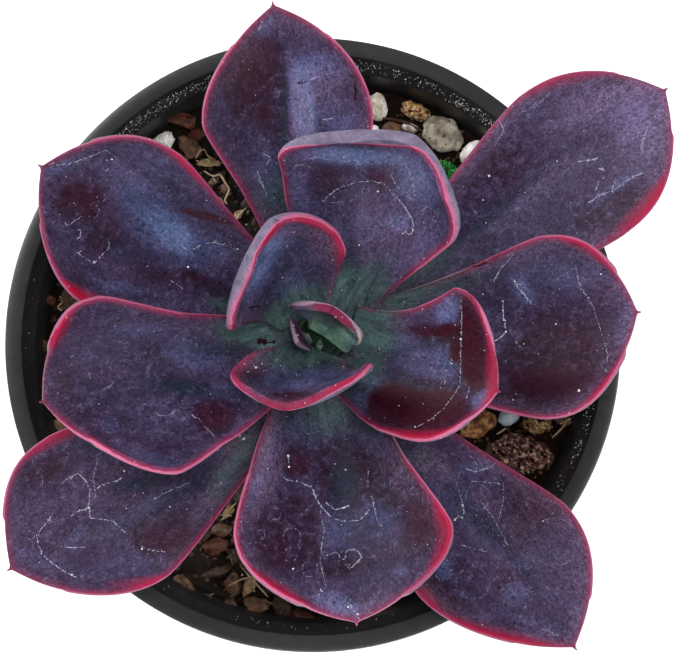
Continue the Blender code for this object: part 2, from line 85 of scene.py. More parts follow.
# Leaves, with the same measures as their solids. A pair gives the anticlockwise side first.
LEAF_MIDRIB, POINT_HALF = 3.2, 0.45
MIDRIB_STEPS = 480
LEAF = {
    "reach": 4.0, "rise": (14, 8), "sweep": 0, "curl": 0, "roll": 0, "widest": (0.66, 0.66),
    "neck": (1.8, 1.8), "turn": (1.35, 1.35), "blunt": (2.1, 2.1), "base": (0.38, 0.38),
    "cup": (20, 20), "edge": 0.9, "point": 0.5,
}
LEAVES = {
    "leaf_01": {
        "azimuth": 35.5, "height": 73.2, "length": 58.5, "width": (11.9, 14.3), "rise": (15, 9),
        "widest": (0.70, 0.70), "neck": (1.8, 1.1), "blunt": (2.4, 2.7), "base": (0.30, 0.28),
    },
    "leaf_02": {
        "azimuth": 308.5, "height": 74.7, "length": 54.4, "width": (12.5, 13.0), "sweep": 1,
        "widest": (0.71, 0.64), "neck": (2.0, 1.0), "blunt": (2.4, 1.8), "base": (0.28, 0.34),
    },
    "leaf_03": {
        "azimuth": 97.0, "height": 76.6, "length": 45.5, "width": (13.8, 12.0), "sweep": 3,
        "rise": (18, 12), "widest": (0.66, 0.62), "neck": (2.2, 1.6), "blunt": (1.9, 2.2),
        "base": (0.36, 0.32), "cup": (22, 22),
    },
    "leaf_04": {
        "azimuth": 220.5, "height": 77.7, "length": 52.4, "width": (13.4, 13.5), "sweep": -7,
        "rise": (16, 8), "widest": (0.67, 0.72), "blunt": (2.0, 3.0),
    },
    "leaf_05": {
        "azimuth": 3.5, "height": 79.2, "length": 42.6, "width": (12.4, 15.6), "rise": (20, 14),
        "widest": (0.72, 0.70), "neck": (2.0, 1.4), "blunt": (2.8, 2.6), "cup": (25, 25),
    },
    "leaf_06": {
        "azimuth": 151.0, "height": 80.9, "length": 43.7, "width": (14.2, 12.8), "sweep": -3,
        "rise": (22, 15), "widest": (0.68, 0.66), "neck": (2.0, 1.6), "blunt": (1.9, 2.7),
        "base": (0.36, 0.36), "cup": (25, 25),
    },
    "leaf_07": {
        "azimuth": 277.0, "height": 82.3, "length": 39.0, "width": (16.0, 16.6), "rise": (24, 16),
        "widest": (0.74, 0.68), "neck": (2.2, 1.3), "blunt": (2.2, 2.4), "cup": (25, 25),
    },
    "leaf_08": {
        "azimuth": 63.5, "height": 83.7, "length": 33.0, "width": (16.2, 11.9), "reach": 3.5,
        "rise": (32, 46), "curl": 22, "widest": (0.70, 0.72), "neck": (1.1, 1.6), "turn": (1.0, 1.35),
        "blunt": (2.3, 2.6), "cup": (20, 28), "edge": 1.6, "point": 0.5,
    },
    "leaf_09": {
        "azimuth": 196.0, "height": 85.3, "length": 38.4, "width": (16.0, 13.6), "sweep": -2,
        "rise": (28, 20), "widest": (0.64, 0.76), "neck": (1.4, 2.3), "blunt": (1.6, 3.3),
        "cup": (30, 30),
    },
    "leaf_10": {
        "azimuth": 340.0, "height": 86.6, "length": 26.5, "width": (12.2, 11.0), "reach": 3.5,
        "rise": (34, 34), "widest": (0.66, 0.50), "neck": (2.4, 1.2), "turn": (1.0, 1.35),
        "blunt": (2.5, 4.6), "base": (0.45, 0.62), "cup": (22, 22), "point": 0.6,
    },
    "leaf_11": {
        "azimuth": 113.0, "height": 87.8, "length": 22.0, "width": (13.6, 7.4), "reach": 2.6,
        "rise": (42, 66), "curl": 15, "roll": 14, "widest": (0.53, 0.50), "neck": (1.2, 1.3),
        "turn": (1.0, 1.35), "blunt": (2.8, 2.6), "cup": (24, 25), "edge": 1.4, "point": 0.5,
    },
    "leaf_12": {
        "azimuth": 246.0, "height": 89.0, "length": 19.0, "width": (10.9, 8.7), "reach": 2.1,
        "rise": (56, 64), "roll": 25, "widest": (0.55, 0.66), "neck": (1.2, 1.4), "turn": (1.0, 1.35),
        "blunt": (3.6, 3.4), "cup": (18, 18), "point": 0.5,
    },
    "heart_leaf_01": {
        "azimuth": 57.0, "height": 91.7, "length": 8.6, "width": (5.2, 5.5), "reach": -0.6,
        "rise": (60, 80), "roll": 9, "widest": (0.62, 0.55), "base": (0.4, 0.86), "blunt": (2.4, 3.0),
        "cup": (12, 12), "edge": 1.3, "point": 0.4,
    },
    "heart_leaf_02": {
        "azimuth": 212.0, "height": 91.0, "length": 6.4, "width": (1.6, 3.5), "reach": 1.6,
        "rise": (68, 82), "widest": (0.45, 0.6), "base": (0.4, 0.24), "blunt": (1.4, 2.4),
        "cup": (8, 8), "edge": 0.5, "point": 0.3,
    },
    "heart_leaf_03": {
        "azimuth": 264.0, "height": 91.3, "length": 4.2, "width": (0.45, 0.45), "reach": 1.0,
        "rise": (64, 82), "widest": (0.5, 0.5), "blunt": (2.0, 2.0), "cup": (10, 10), "edge": 0.4,
        "point": 0.2,
    },
}

# The leaves' finer form: how far apart its rows of points and the points in a row are, the groove over
# the midrib, and how far the blade rises and dips
ROW_SPACING, LANE_SPACING = 0.40, 0.30
GROOVE_DEPTH, GROOVE_WIDTH, UNEVEN_DEPTH = 0.30, 1.8, 0.10
# The skin: wax on a bare patch, the pink line and the dust of a margin where no table says otherwise, how
# far the dust reaches, the share of a leaf that counts as its root, and the step between leaves' patterns
THIN_WAX, USUAL_GLOW, USUAL_POWDER, POWDER_REACH = 0.19, 0.1, 0.15, 2.4
ROOT_SHARE, PATTERN_STEP = 0.30, 71.0

# Patches on the leaves, as pixels: x, y, half-length, half-width, turn clockwise, strength, and for some
# how crisp the edge is.
# The first table is the blue-grey wax, where a negative strength is rubbed away, and in some patches
# painted sheen and painted reflections of the sky in blue-grey. WINE is deep glossy red skin; SAP is green
# tissue; BLUSH is red that spreads in from a margin.
WAX_AND_SHEEN = {
    "leaf_01": (
        (640, 125, 26, 34, 10, 0.5), (600, 110, 45, 22, -10, 0.3), (533, 108, 11, 7, -40, 0.4),
        (622, 182, 30, 6, -35, 0.5), (590, 160, 12, 4, 0, 0.3), (500, 130, 6, 16, 20, 0.3),
        (622, 215, 34, 20, -35, -0.5), (505, 165, 26, 20, -40, -0.3), (540, 190, 60, 10, -35, 0.15),
        (470, 195, 20, 12, -60, -0.1),
    ),
    "leaf_02": (
        (476, 468, 20, 7, -15, 0.5), (523, 561, 11, 9, 0, 0.5, 2), (517, 594, 16, 12, 0, 0.55, 2),
        (443, 570, 9, 11, 0, 0.6, 2), (554, 545, 25, 24, 0, 0.22, 2), (490, 545, 30, 9, 40, 0.35),
        (525, 510, 18, 30, -15, -0.4), (446, 608, 18, 14, 30, -0.4), (530, 620, 40, 9, 15, 0.25),
        (448, 490, 34, 15, 48, 0.35), (430, 592, 16, 22, 0, -0.5), (505, 579, 9, 8, 0, -0.3),
        (560, 600, 26, 10, 40, 0.2), (555, 500, 20, 26, -30, -0.2), (530, 560, 64, 60, 40, -0.06),
    ),
    "leaf_03": (
        (302, 105, 13, 50, -6, 0.6, 2), (304, 112, 11, 32, -5, 0.9), (316, 66, 26, 15, 0, 0.55),
        (325, 100, 22, 34, -10, 0.3), (246, 76, 32, 40, 20, -0.5), (265, 28, 7, 10, 30, 0.5),
        (222, 100, 12, 22, -10, 0.2), (268, 178, 16, 26, -10, 0.3), (275, 110, 12, 40, 0, -0.2),
        (345, 125, 16, 12, 0, 0.3),
    ),
    "leaf_04": (
        (77, 540, 11, 14, 0, 0.35), (140, 512, 40, 9, -35, 0.35), (160, 532, 26, 20, 0, -0.5),
        (45, 560, 30, 9, 10, 0.25), (70, 510, 50, 34, 0, 0.1), (215, 450, 26, 9, -50, 0.3),
        (110, 560, 40, 12, 0, 0.15), (45, 470, 30, 14, -35, -0.2), (100, 510, 90, 50, -25, -0.12),
        (225, 480, 24, 10, -50, 0.15),
    ),
    "leaf_05": (
        (632, 325, 13, 34, 12, 0.4, 2), (603, 268, 18, 10, 35, 0.35), (522, 290, 9, 17, -35, 0.75),
        (555, 275, 40, 14, 10, 0.2), (550, 376, 56, 32, -5, -0.6), (500, 382, 18, 9, 20, 0.4),
        (555, 330, 44, 28, 0, -0.15), (440, 285, 34, 9, -15, 0.2), (610, 370, 14, 22, 20, -0.2),
    ),
    "leaf_06": (
        (158, 222, 56, 22, 42, 0.85), (180, 240, 24, 16, 42, 0.4), (150, 165, 50, 14, 20, 0.15),
        (80, 202, 24, 20, 0, -0.35), (102, 238, 18, 15, 0, -0.3), (203, 283, 26, 8, 25, -0.5),
        (215, 248, 22, 12, 40, 0.4), (60, 168, 18, 7, -20, 0.4), (122, 287, 30, 7, 10, 0.3),
        (60, 250, 12, 30, -15, 0.1),
    ),
    "leaf_07": (
        (258, 462, 14, 48, 15, 0.75, 2), (338, 606, 26, 13, 20, 0.7, 2), (401, 572, 8, 4, 10, 0.5),
        (292, 537, 10, 9, 0, 0.35), (288, 532, 32, 32, 0, -0.5), (335, 562, 34, 14, 0, -0.3),
        (390, 482, 20, 26, -20, -0.4), (345, 472, 24, 26, 0, -0.6), (425, 515, 26, 34, -20, -0.45),
        (390, 440, 24, 18, 40, 0.45), (300, 425, 26, 14, 0, 0.3), (335, 535, 16, 22, 0, 0.35),
        (385, 520, 22, 22, 0, 0.3), (297, 462, 12, 14, 0, -0.5), (360, 580, 40, 12, -20, 0.1),
    ),
    "leaf_08": (
        (370, 200, 80, 60, 0, 0.15), (410, 178, 34, 24, 35, 0.95), (350, 156, 50, 10, 2, 0.85, 2),
        (383, 178, 16, 11, 20, -0.5), (330, 185, 20, 18, 0, -0.2), (360, 230, 26, 16, 0, 0.5),
        (425, 235, 16, 24, 0, 0.25), (300, 195, 10, 26, 0, 0.3), (395, 265, 20, 14, -30, 0.2),
        (397, 222, 13, 11, 0, 0.7, 2),
    ),
    "leaf_09": (
        (190, 354, 34, 13, 10, 0.6), (214, 417, 19, 17, 14, -0.7), (162, 350, 22, 12, 0, -0.2),
        (150, 458, 36, 8, 20, 0.5), (220, 392, 22, 8, -20, 0.3), (100, 400, 30, 30, 0, -0.05),
        (80, 345, 24, 12, -20, 0.15), (112, 425, 9, 8, 0, 0.3), (225, 440, 26, 6, -35, 0.3),
        (130, 330, 40, 9, 5, 0.2),
    ),
    "leaf_10": (
        (448, 308, 15, 13, -30, 0.6, 2), (418, 358, 46, 17, 22, 0.3, 2), (440, 338, 18, 12, 0, -0.4),
        (482, 401, 13, 11, -30, 0.9, 2), (446, 340, 13, 30, -10, 0.3, 2), (362, 400, 14, 22, 20, 0.6),
        (472, 352, 11, 42, -4, -1.2), (418, 408, 52, 26, 2, -1.4, 2), (370, 375, 14, 8, 30, 0.3),
    ),
    "leaf_11": (
        (260, 268, 34, 13, -60, 0.85), (275, 240, 20, 12, -30, 0.5), (310, 262, 30, 26, 20, 0.25),
        (290, 290, 20, 16, 0, 0.4), (318, 240, 14, 12, 0, -0.2),
    ),
    "leaf_12": (
        (300, 378, 46, 12, -5, 0.5), (255, 372, 14, 10, 0, -0.3), (345, 372, 18, 8, -20, 0.2),
        (290, 397, 30, 5, 0, -0.3),
    ),
    "heart_leaf_01": ((305, 318, 18, 9, 25, 0.7),),
}
WINE = {
    "leaf_02": (
        (560, 515, 24, 40, -30, 0.4), (430, 600, 40, 12, 45, 0.3), (525, 515, 20, 34, -15, 0.5),
        (446, 606, 16, 12, 30, 0.4),
    ),
    "leaf_03": ((250, 70, 26, 40, 25, 0.55), (262, 116, 10, 12, 0, 0.5), (357, 90, 4, 16, -8, 0.8)),
    "leaf_04": (
        (190, 540, 40, 14, -40, 0.35), (80, 555, 40, 14, 0, 0.25), (160, 534, 26, 18, 0, 0.35),
        (50, 475, 26, 12, -35, 0.3), (200, 505, 30, 8, -45, 0.3),
    ),
    "leaf_05": ((550, 384, 56, 22, -5, 0.75), (560, 335, 40, 30, 0, 0.3), (600, 320, 16, 44, 0, 0.35)),
    "leaf_06": (
        (95, 205, 44, 30, 20, 0.35), (60, 275, 22, 26, 0, 0.3), (140, 275, 40, 10, 20, 0.3),
        (80, 202, 20, 16, 0, 0.2), (102, 240, 14, 12, 0, 0.2), (205, 284, 24, 6, 28, 0.7),
        (160, 275, 30, 7, 25, 0.4), (208, 217, 30, 3.5, 15, 1.6, 2), (175, 150, 30, 7, 30, 0.35),
    ),
    "leaf_07": (
        (270, 560, 20, 34, 20, 0.3), (345, 580, 30, 20, 0, 0.25), (400, 545, 26, 20, -30, 0.35),
        (428, 515, 24, 30, -20, 0.6), (345, 470, 22, 24, 0, 0.4), (297, 462, 12, 14, 0, 0.5),
    ),
    "leaf_08": (
        (330, 165, 30, 12, 0, 0.2), (400, 240, 24, 24, 0, 0.15), (383, 178, 16, 11, 20, 0.6),
        (325, 180, 22, 14, 0, 0.3),
    ),
    "leaf_09": (
        (80, 335, 40, 16, -20, 0.3), (62, 390, 16, 50, 0, 0.3), (130, 445, 50, 14, 20, 0.25),
        (214, 416, 19, 15, 14, 0.6, 2), (85, 440, 26, 12, 20, 0.2),
    ),
    "leaf_10": (
        (476, 336, 14, 50, -8, 1.7, 3), (474, 360, 13, 30, -2, 1.7, 3), (400, 409, 32, 25, 12, 1.7, 3),
        (436, 411, 32, 21, -8, 1.7, 3), (450, 332, 13, 9, 0, 1.3, 2), (430, 330, 26, 7, 4, 0.8, 2),
        (455, 351, 6, 13, 0, 1.2, 2),
    ),
    "leaf_11": ((318, 240, 16, 12, 20, 0.25), (331, 246, 9, 18, -8, 0.8)),
    "leaf_12": ((300, 398, 46, 6, 0, 0.7), (250, 372, 16, 12, 0, 0.5)),
    "heart_leaf_01": ((334, 315, 20, 6, 24, 0.8),),
    "heart_leaf_02": ((302, 332, 10, 14, 30, 0.7),),
}
SAP = {
    "leaf_01": ((430, 262, 30, 12, -25, 0.35),),
    "leaf_02": ((425, 596, 9, 14, 0, 0.3), (420, 455, 20, 12, 30, 0.25)),
    "leaf_03": ((275, 195, 22, 20, 0, 0.4),),
    "leaf_04": ((232, 470, 14, 40, 35, 0.5), (240, 440, 16, 12, 0, 0.4)),
    "leaf_05": ((435, 286, 42, 11, -15, 0.7), (400, 295, 20, 14, 0, 0.9), (436, 275, 46, 6, -17, 0.7)),
    "leaf_06": ((228, 305, 26, 7, 5, 0.5),),
    "leaf_07": (
        (325, 415, 26, 24, 0, 0.5), (370, 425, 14, 16, 0, 0.4), (262, 440, 5, 34, 12, 0.25),
        (396, 442, 5, 30, -24, 0.6),
    ),
    "leaf_08": ((370, 285, 20, 22, 0, 0.8), (345, 285, 18, 26, 0, 0.6), (385, 262, 14, 10, -30, 0.3)),
    "leaf_09": ((240, 332, 30, 13, 5, 0.9), (262, 340, 12, 10, 0, 0.7)),
    "leaf_10": (
        (378, 335, 22, 20, 0, 0.85), (355, 330, 16, 22, 0, 0.9), (370, 370, 16, 16, 0, 0.5),
        (398, 308, 36, 8, -20, 0.7),
    ),
    "leaf_11": ((298, 305, 28, 20, -40, 0.9), (280, 320, 20, 14, 0, 0.7)),
    "leaf_12": ((298, 356, 36, 14, 0, 1.0), (300, 345, 24, 10, 0, 0.6)),
    "heart_leaf_01": ((318, 332, 26, 18, 20, 0.8), (345, 342, 20, 14, 20, 1.0)),
    "heart_leaf_02": ((319, 340, 8, 14, -20, 0.6),),
    "heart_leaf_03": ((320, 338, 20, 20, 0, 1.0),),
}
BLUSH = {
    "leaf_01": ((640, 205, 40, 14, -40, 0.7), (560, 85, 40, 10, -15, 0.3)),
    "leaf_02": (
        (500, 635, 60, 12, 15, 0.5), (429, 592, 11, 22, -10, 0.45), (580, 480, 20, 40, -40, 0.4),
    ),
    "leaf_04": ((130, 580, 60, 8, 5, 0.5), (60, 440, 40, 9, -25, 0.4)),
    "leaf_05": ((590, 250, 40, 10, 30, 0.4), (610, 390, 14, 30, 40, 0.5)),
    "leaf_06": ((78, 293, 30, 9, 15, 1.0), (190, 165, 30, 10, 40, 0.4)),
    "leaf_07": ((440, 530, 14, 40, 10, 0.8), (280, 590, 30, 12, 35, 0.6)),
    "leaf_09": ((60, 330, 20, 16, -40, 0.7), (130, 470, 50, 8, 25, 0.3)),
    "leaf_10": ((430, 435, 50, 7, 0, 0.8), (490, 380, 8, 40, 0, 0.7)),
    "leaf_11": ((272, 236, 16, 8, -35, 0.8), (338, 248, 10, 20, -10, 0.5), (310, 222, 30, 6, 20, 0.5)),
    "leaf_12": ((338, 392, 28, 9, -28, 0.8), (295, 402, 50, 8, 0, 0.35), (240, 378, 12, 20, 40, 0.3)),
    "heart_leaf_01": ((336, 316, 26, 9, 28, 0.8, 2),),
}
# POWDER is mauve dust, which also lies along the margins, as thick as EDGE_POWDER says
POWDER = {
    "leaf_01": (
        (590, 150, 80, 50, -30, 0.22), (600, 105, 60, 20, -15, 0.35), (640, 140, 26, 36, 10, 0.3),
        (540, 180, 60, 10, -35, 0.3),
    ),
    "leaf_02": ((478, 505, 26, 20, 20, 0.3), (530, 560, 64, 60, 40, 0.3), (432, 464, 30, 14, 42, 0.7)),
    "leaf_03": ((302, 115, 13, 50, -6, 0.5), (330, 90, 22, 26, 0, 0.3)),
    "leaf_04": (
        (100, 505, 80, 44, -25, 0.2), (240, 442, 20, 14, 0, 0.7), (226, 460, 20, 10, -50, 0.4),
        (212, 496, 28, 9, -50, 0.45),
    ),
    "leaf_05": ((425, 284, 30, 8, -15, 0.5),),
    "leaf_07": (
        (268, 475, 12, 40, 15, 0.4), (262, 436, 10, 34, 14, 0.8), (390, 470, 12, 34, -30, 0.25),
    ),
    "leaf_08": ((405, 172, 30, 16, 35, 0.3), (380, 225, 50, 50, 0, 0.35)),
    "leaf_10": ((385, 330, 24, 8, -20, 0.3),),
    "leaf_11": ((328, 250, 16, 24, 10, 0.4), (335, 290, 8, 20, 0, 0.4), (300, 232, 30, 6, 0, 0.3)),
}
EDGE_POWDER = {
    "leaf_01": 0.5, "leaf_02": 0.45, "leaf_03": 0.35, "leaf_05": 0.45, "leaf_07": 0.45, "leaf_11": 0.3,
    "leaf_12": 0.45,
}
# The next table is painted shade, where the blade dips or lies under another leaf and looks nearly black,
# blue or green
PAINTED_SHADE = {
    "leaf_01": ((492, 215, 62, 8, -42, 0.7), (565, 165, 62, 26, -38, 0.35)),
    "leaf_02": ((470, 510, 62, 12, 48, 0.65), (530, 545, 60, 30, 50, 0.35), (530, 580, 30, 9, 55, 0.3)),
    "leaf_03": (
        (284, 105, 52, 4, 88, 0.75, 2), (278, 150, 40, 9, 80, 0.4), (310, 150, 20, 16, 0, 0.25),
    ),
    "leaf_04": (
        (185, 488, 62, 11, -38, 0.35), (136, 484, 34, 9, -12, 0.7), (120, 515, 60, 26, -30, 0.25),
        (110, 520, 30, 12, -20, 0.25),
    ),
    "leaf_05": ((470, 280, 52, 6, -14, 0.6),),
    "leaf_06": (
        (112, 246, 60, 9, 38, 0.45), (215, 290, 34, 8, 25, 0.5), (178, 196, 40, 6, 38, 0.4),
        (130, 190, 30, 8, 40, 0.3),
    ),
    "leaf_07": (
        (343, 490, 15, 62, 0, 0.6), (345, 480, 18, 20, 0, 0.5), (340, 560, 40, 20, 0, 0.2),
        (310, 430, 14, 30, 10, 0.3), (380, 470, 8, 40, -20, 0.25),
    ),
    "leaf_08": ((350, 242, 9, 50, -4, 0.6), (400, 250, 8, 34, 30, 0.2)),
    "leaf_09": (
        (212, 350, 52, 9, 4, 0.65), (140, 392, 60, 10, -12, 0.3), (188, 389, 34, 9, 10, 0.9),
        (100, 350, 26, 12, 0, 0.2),
    ),
    "leaf_10": ((425, 345, 40, 6, -14, 0.5), (395, 378, 36, 7, 20, 0.4)),
    "leaf_11": ((292, 250, 46, 9, -62, 0.4), (320, 270, 10, 30, 10, 0.3)),
    "leaf_12": ((290, 378, 52, 6, 0, 0.4), (330, 365, 20, 6, -10, 0.3)),
    "heart_leaf_03": ((318, 345, 20, 20, 0, 0.6),),
}
# GLOW is how wide and bright the pink line of a margin is, over EDGE_GLOW for the leaf
EDGE_GLOW = {
    "leaf_01": 0.0, "leaf_02": 0.05, "leaf_03": 0.25, "leaf_04": 0.12, "leaf_05": 0.2, "leaf_06": 0.1,
    "leaf_07": 0.42, "leaf_08": 0.35, "leaf_09": 0.18, "leaf_10": 0.45, "leaf_11": 0.35, "leaf_12": 0.4,
    "heart_leaf_01": 0.0, "heart_leaf_02": 0.0, "heart_leaf_03": 0.0,
}
GLOW = {
    "leaf_07": ((430, 560, 60, 30, -40, -0.4), (252, 452, 16, 44, 12, 0.5)),
    "leaf_09": ((120, 468, 90, 30, 30, 0.5), (205, 425, 40, 30, -40, 0.3)),
    "heart_leaf_01": ((360, 346, 9, 14, 0, 1.0),),
}
# HEM is how far in from the margin, in millimetres, the line runs where a leaf curls up and shows its
# back; a negative one runs on the back
HEM = {
    "leaf_06": ((45, 230, 12, 70, 0, -0.2),),
    "leaf_08": (
        (340, 136, 60, 18, 3, 1.2), (392, 140, 30, 14, 10, 1.1), (436, 165, 22, 22, 45, 0.2),
        (455, 215, 14, 40, 0, 0.1),
    ),
    "leaf_09": ((45, 360, 16, 60, 0, -0.35), (120, 465, 80, 14, 20, -0.3)),
    "leaf_10": ((470, 300, 20, 30, 40, -0.25), (492, 370, 12, 50, 0, -0.3)),
    "leaf_11": ((238, 270, 12, 50, 25, 0.4), (262, 232, 22, 12, -40, 0.45)),
    "leaf_12": ((300, 400, 90, 30, 0, -0.7),),
    "heart_leaf_01": ((334, 316, 28, 16, 25, -0.35), (362, 345, 10, 12, 0, 0.3)),
    "heart_leaf_02": ((300, 330, 30, 40, 0, -0.1),),
    "heart_leaf_03": ((318, 345, 40, 40, 0, -1.2),),
}

# How far a mark wanders, in pixels, the longest gap it bridges and how far it stands off the leaf
STRIP_WANDER, STRIP_LEAP, STRIP_LIFT = 0.22, 3.0, 0.02
RING_WIDTH = 0.14
# Scratches in the wax, and one painted highlight on the rim of heart_leaf_01 drawn the same way, as runs of
# # pixels with a width in millimetres
SCRATCHES_AND_HIGHLIGHT = {
    "leaf_01": (
        (0.22, (576, 162), (590, 160), (600, 158)), (0.16, (598, 169), (606, 169)),
        (0.14, (602, 164), (603, 173)),
        (0.12, (586, 205), (598, 196), (614, 190), (629, 179), (645, 172)),
        (0.12, (595, 193), (599, 181), (605, 177)), (0.14, (486, 178), (491, 174)),
        (0.10, (521, 112), (533, 108), (543, 100), (551, 92)),
        (0.12, (498, 118), (504, 130), (494, 147)), (0.10, (622, 183), (634, 177)),
        (0.12, (612, 189), (616, 178)), (0.08, (640, 150), (650, 120)),
    ),
    "leaf_02": (
        (0.22, (454, 520), (459, 516), (463, 519), (464, 507), (461, 504)),
        (0.20, (465, 468), (476, 472), (489, 468), (497, 462)),
        (0.10, (460, 470), (457, 485), (464, 507)),
        (0.10, (469, 485), (473, 481), (497, 483), (504, 485), (503, 503), (498, 522)),
        (0.14, (497, 483), (504, 485)), (0.12, (470, 455), (478, 466)),
        (0.10, (480, 500), (492, 516), (502, 534), (508, 546)),
        (0.10, (460, 545), (475, 549), (490, 553)), (0.08, (540, 628), (560, 636)),
    ),
    "leaf_03": (
        (0.14, (257, 171), (261, 181), (269, 202)), (0.12, (262, 152), (270, 158), (266, 166)),
        (0.08, (295, 84), (309, 80), (323, 75), (342, 71)), (0.10, (258, 178), (265, 190)),
        (0.10, (320, 120), (335, 118)), (0.10, (262, 20), (258, 32)),
    ),
    "leaf_04": (
        (0.12, (61, 484), (67, 479), (78, 473), (87, 482), (90, 491), (89, 504), (86, 509), (78, 511)),
        (0.14, (86, 509), (78, 511), (68, 518)),
        (0.12, (89, 508), (90, 518), (98, 519), (113, 521), (120, 528), (126, 533)),
        (0.12, (140, 546), (147, 549), (156, 551), (167, 552)),
        (0.14, (53, 514), (48, 521), (41, 529), (37, 538), (39, 547), (44, 556), (53, 564), (67, 573)),
        (0.10, (67, 573), (76, 577), (84, 576)), (0.10, (50, 542), (60, 546), (73, 548), (86, 547)),
        (0.14, (96, 489), (104, 484), (116, 481), (123, 477)),
        (0.08, (98, 457), (96, 467), (93, 478), (96, 498)),
        (0.10, (153, 500), (164, 493), (176, 488), (189, 483)), (0.18, (84, 511), (92, 503)),
        (0.12, (46, 519), (53, 522)), (0.16, (216, 452), (223, 444)), (0.14, (240, 441), (246, 437)),
    ),
    "leaf_05": (
        (0.09, (575, 264), (580, 287), (592, 304), (599, 325), (608, 354), (606, 373)),
        (0.24, (513, 278), (518, 288), (526, 296), (532, 305)), (0.18, (516, 284), (523, 284)),
        (0.16, (513, 254), (508, 261), (501, 268), (493, 282)), (0.14, (506, 256), (514, 252)),
        (0.16, (503, 301), (503, 311), (504, 320), (506, 332), (499, 339), (494, 341)),
        (0.10, (484, 262), (495, 257)), (0.08, (513, 341), (525, 350)),
    ),
    "leaf_06": (
        (0.12, (64, 220), (67, 226), (72, 223), (82, 216)),
        (0.14, (76, 252), (85, 258), (94, 264), (101, 256)), (0.10, (101, 256), (109, 248), (109, 240)),
        (0.14, (77, 230), (81, 230), (80, 237), (76, 240)),
        (0.12, (56, 166), (75, 162), (92, 156), (105, 150), (113, 155), (118, 160)),
        (0.16, (193, 250), (200, 245), (212, 242), (225, 245), (238, 250)),
        (0.12, (182, 246), (187, 250)), (0.12, (170, 280), (178, 285), (186, 292)),
        (0.10, (104, 172), (110, 168)), (0.12, (78, 253), (83, 250)), (0.12, (48, 165), (56, 162)),
    ),
    "leaf_07": (
        (0.12, (281, 474), (286, 480), (300, 482), (312, 488)),
        (0.18, (312, 488), (316, 498), (322, 508), (332, 518)),
        (0.10, (332, 518), (345, 522), (360, 520)),
        (0.16, (360, 520), (368, 511), (374, 505), (372, 495)), (0.12, (368, 487), (368, 467)),
        (0.14, (325, 502), (335, 510), (345, 507), (350, 505)), (0.20, (288, 455), (289, 467)),
        (0.08, (325, 556), (336, 552), (344, 560), (347, 550), (357, 550)),
        (0.10, (357, 550), (362, 557), (350, 569), (344, 564)), (0.14, (321, 588), (317, 602)),
        (0.16, (347, 602), (357, 615), (360, 622)),
        (0.08, (320, 510), (324, 530), (320, 560), (326, 588)),
        (0.08, (374, 505), (377, 520), (384, 530)), (0.10, (342, 600), (350, 604)),
    ),
    "leaf_08": (
        (0.14, (323, 202), (326, 198), (338, 188), (357, 182), (371, 181), (383, 183)),
        (0.20, (383, 183), (390, 190), (397, 198), (405, 207), (412, 219), (414, 229), (410, 235)),
        (0.18, (410, 235), (405, 232), (399, 236)),
        (0.08, (292, 167), (302, 164), (311, 167), (304, 171)),
        (0.08, (342, 162), (354, 160), (361, 164), (352, 166)),
        (0.14, (397, 152), (409, 171), (415, 190), (414, 202)),
        (0.11, (414, 202), (404, 194), (394, 182), (390, 170)),
        (0.09, (321, 200), (333, 203), (345, 201)),
        (0.08, (420, 212), (428, 206), (436, 212), (432, 220), (438, 222)),
        (0.08, (300, 160), (318, 157), (330, 160)), (0.08, (402, 188), (413, 200)),
    ),
    "leaf_09": (
        (0.08, (152, 410), (160, 416), (170, 415), (175, 410)),
        (0.14, (191, 414), (195, 418), (198, 418)), (0.08, (70, 357), (76, 354)),
        (0.08, (100, 392), (112, 385), (114, 380)), (0.08, (198, 418), (208, 430), (216, 438)),
        (0.08, (88, 372), (91, 380)),
    ),
    "leaf_10": (
        (0.12, (461, 295), (462, 320), (461, 345), (460, 385)),
        (0.08, (460, 385), (452, 398), (442, 410)), (0.13, (442, 410), (430, 420), (415, 428)),
        (0.10, (470, 386), (466, 400)), (0.10, (440, 378), (446, 380), (444, 385)),
        (0.12, (452, 358), (450, 366)),
    ),
    "leaf_12": ((0.10, (252, 366), (260, 368)), (0.08, (262, 372), (268, 369))),
    # painted highlight: the shine along the crimson rim of this heart leaf, drawn as a pale strip
    "heart_leaf_01": ((0.24, (322, 312), (326, 316), (331, 318), (335, 318), (337, 315)),),
}
# Rings left by drops, as pixels: x, y, half-length, half-width
RINGS = {
    "leaf_01": ((530, 108, 9, 6),),
    "leaf_02": (
        (532, 503, 6, 6), (523, 561, 11, 9), (517, 594, 16, 12), (443, 570, 9, 11), (473, 583, 17, 16),
        (478, 497, 12, 13), (554, 542, 25, 24),
    ),
    "leaf_04": ((46, 481, 4, 4), (30, 535, 5, 4)),
    "leaf_06": ((93, 211, 6, 7), (101, 198, 4, 5)),
    "leaf_07": (
        (250, 514, 9, 8), (275, 514, 6, 6), (292, 537, 9, 9), (290, 555, 7, 7), (310, 569, 8, 8),
        (256, 554, 12, 12), (397, 482, 7, 7), (374, 451, 7, 7), (260, 535, 5, 5), (414, 491, 4, 4),
        (350, 557, 11, 8),
    ),
    "leaf_08": ((300, 171, 8, 5), (395, 170, 7, 7)),
    "leaf_09": ((110, 425, 8, 8), (165, 408, 11, 6)),
    "leaf_10": ((446, 374, 4, 4), (436, 367, 5, 5)),
}
# Dark slits and cracks, as runs of pixels with a width in millimetres
SLITS = {
    "leaf_03": ((0.30, (295, 84), (303, 82), (309, 80)), (0.45, (354, 80), (356, 92), (354, 102))),
    "leaf_05": ((0.25, (472, 266), (480, 266), (488, 261)),),
    "leaf_07": ((0.16, (307, 412), (310, 430), (304, 447)), (0.10, (320, 440), (322, 457))),
    "leaf_08": ((0.14, (397, 196), (407, 204)),),
    "leaf_09": (
        (0.9, (256, 342), (262, 341), (268, 341)), (0.5, (262, 344), (270, 342), (277, 342)),
        (0.3, (258, 338), (264, 342)),
    ),
    "leaf_11": ((0.35, (247, 309), (253, 307), (261, 305)),),
}

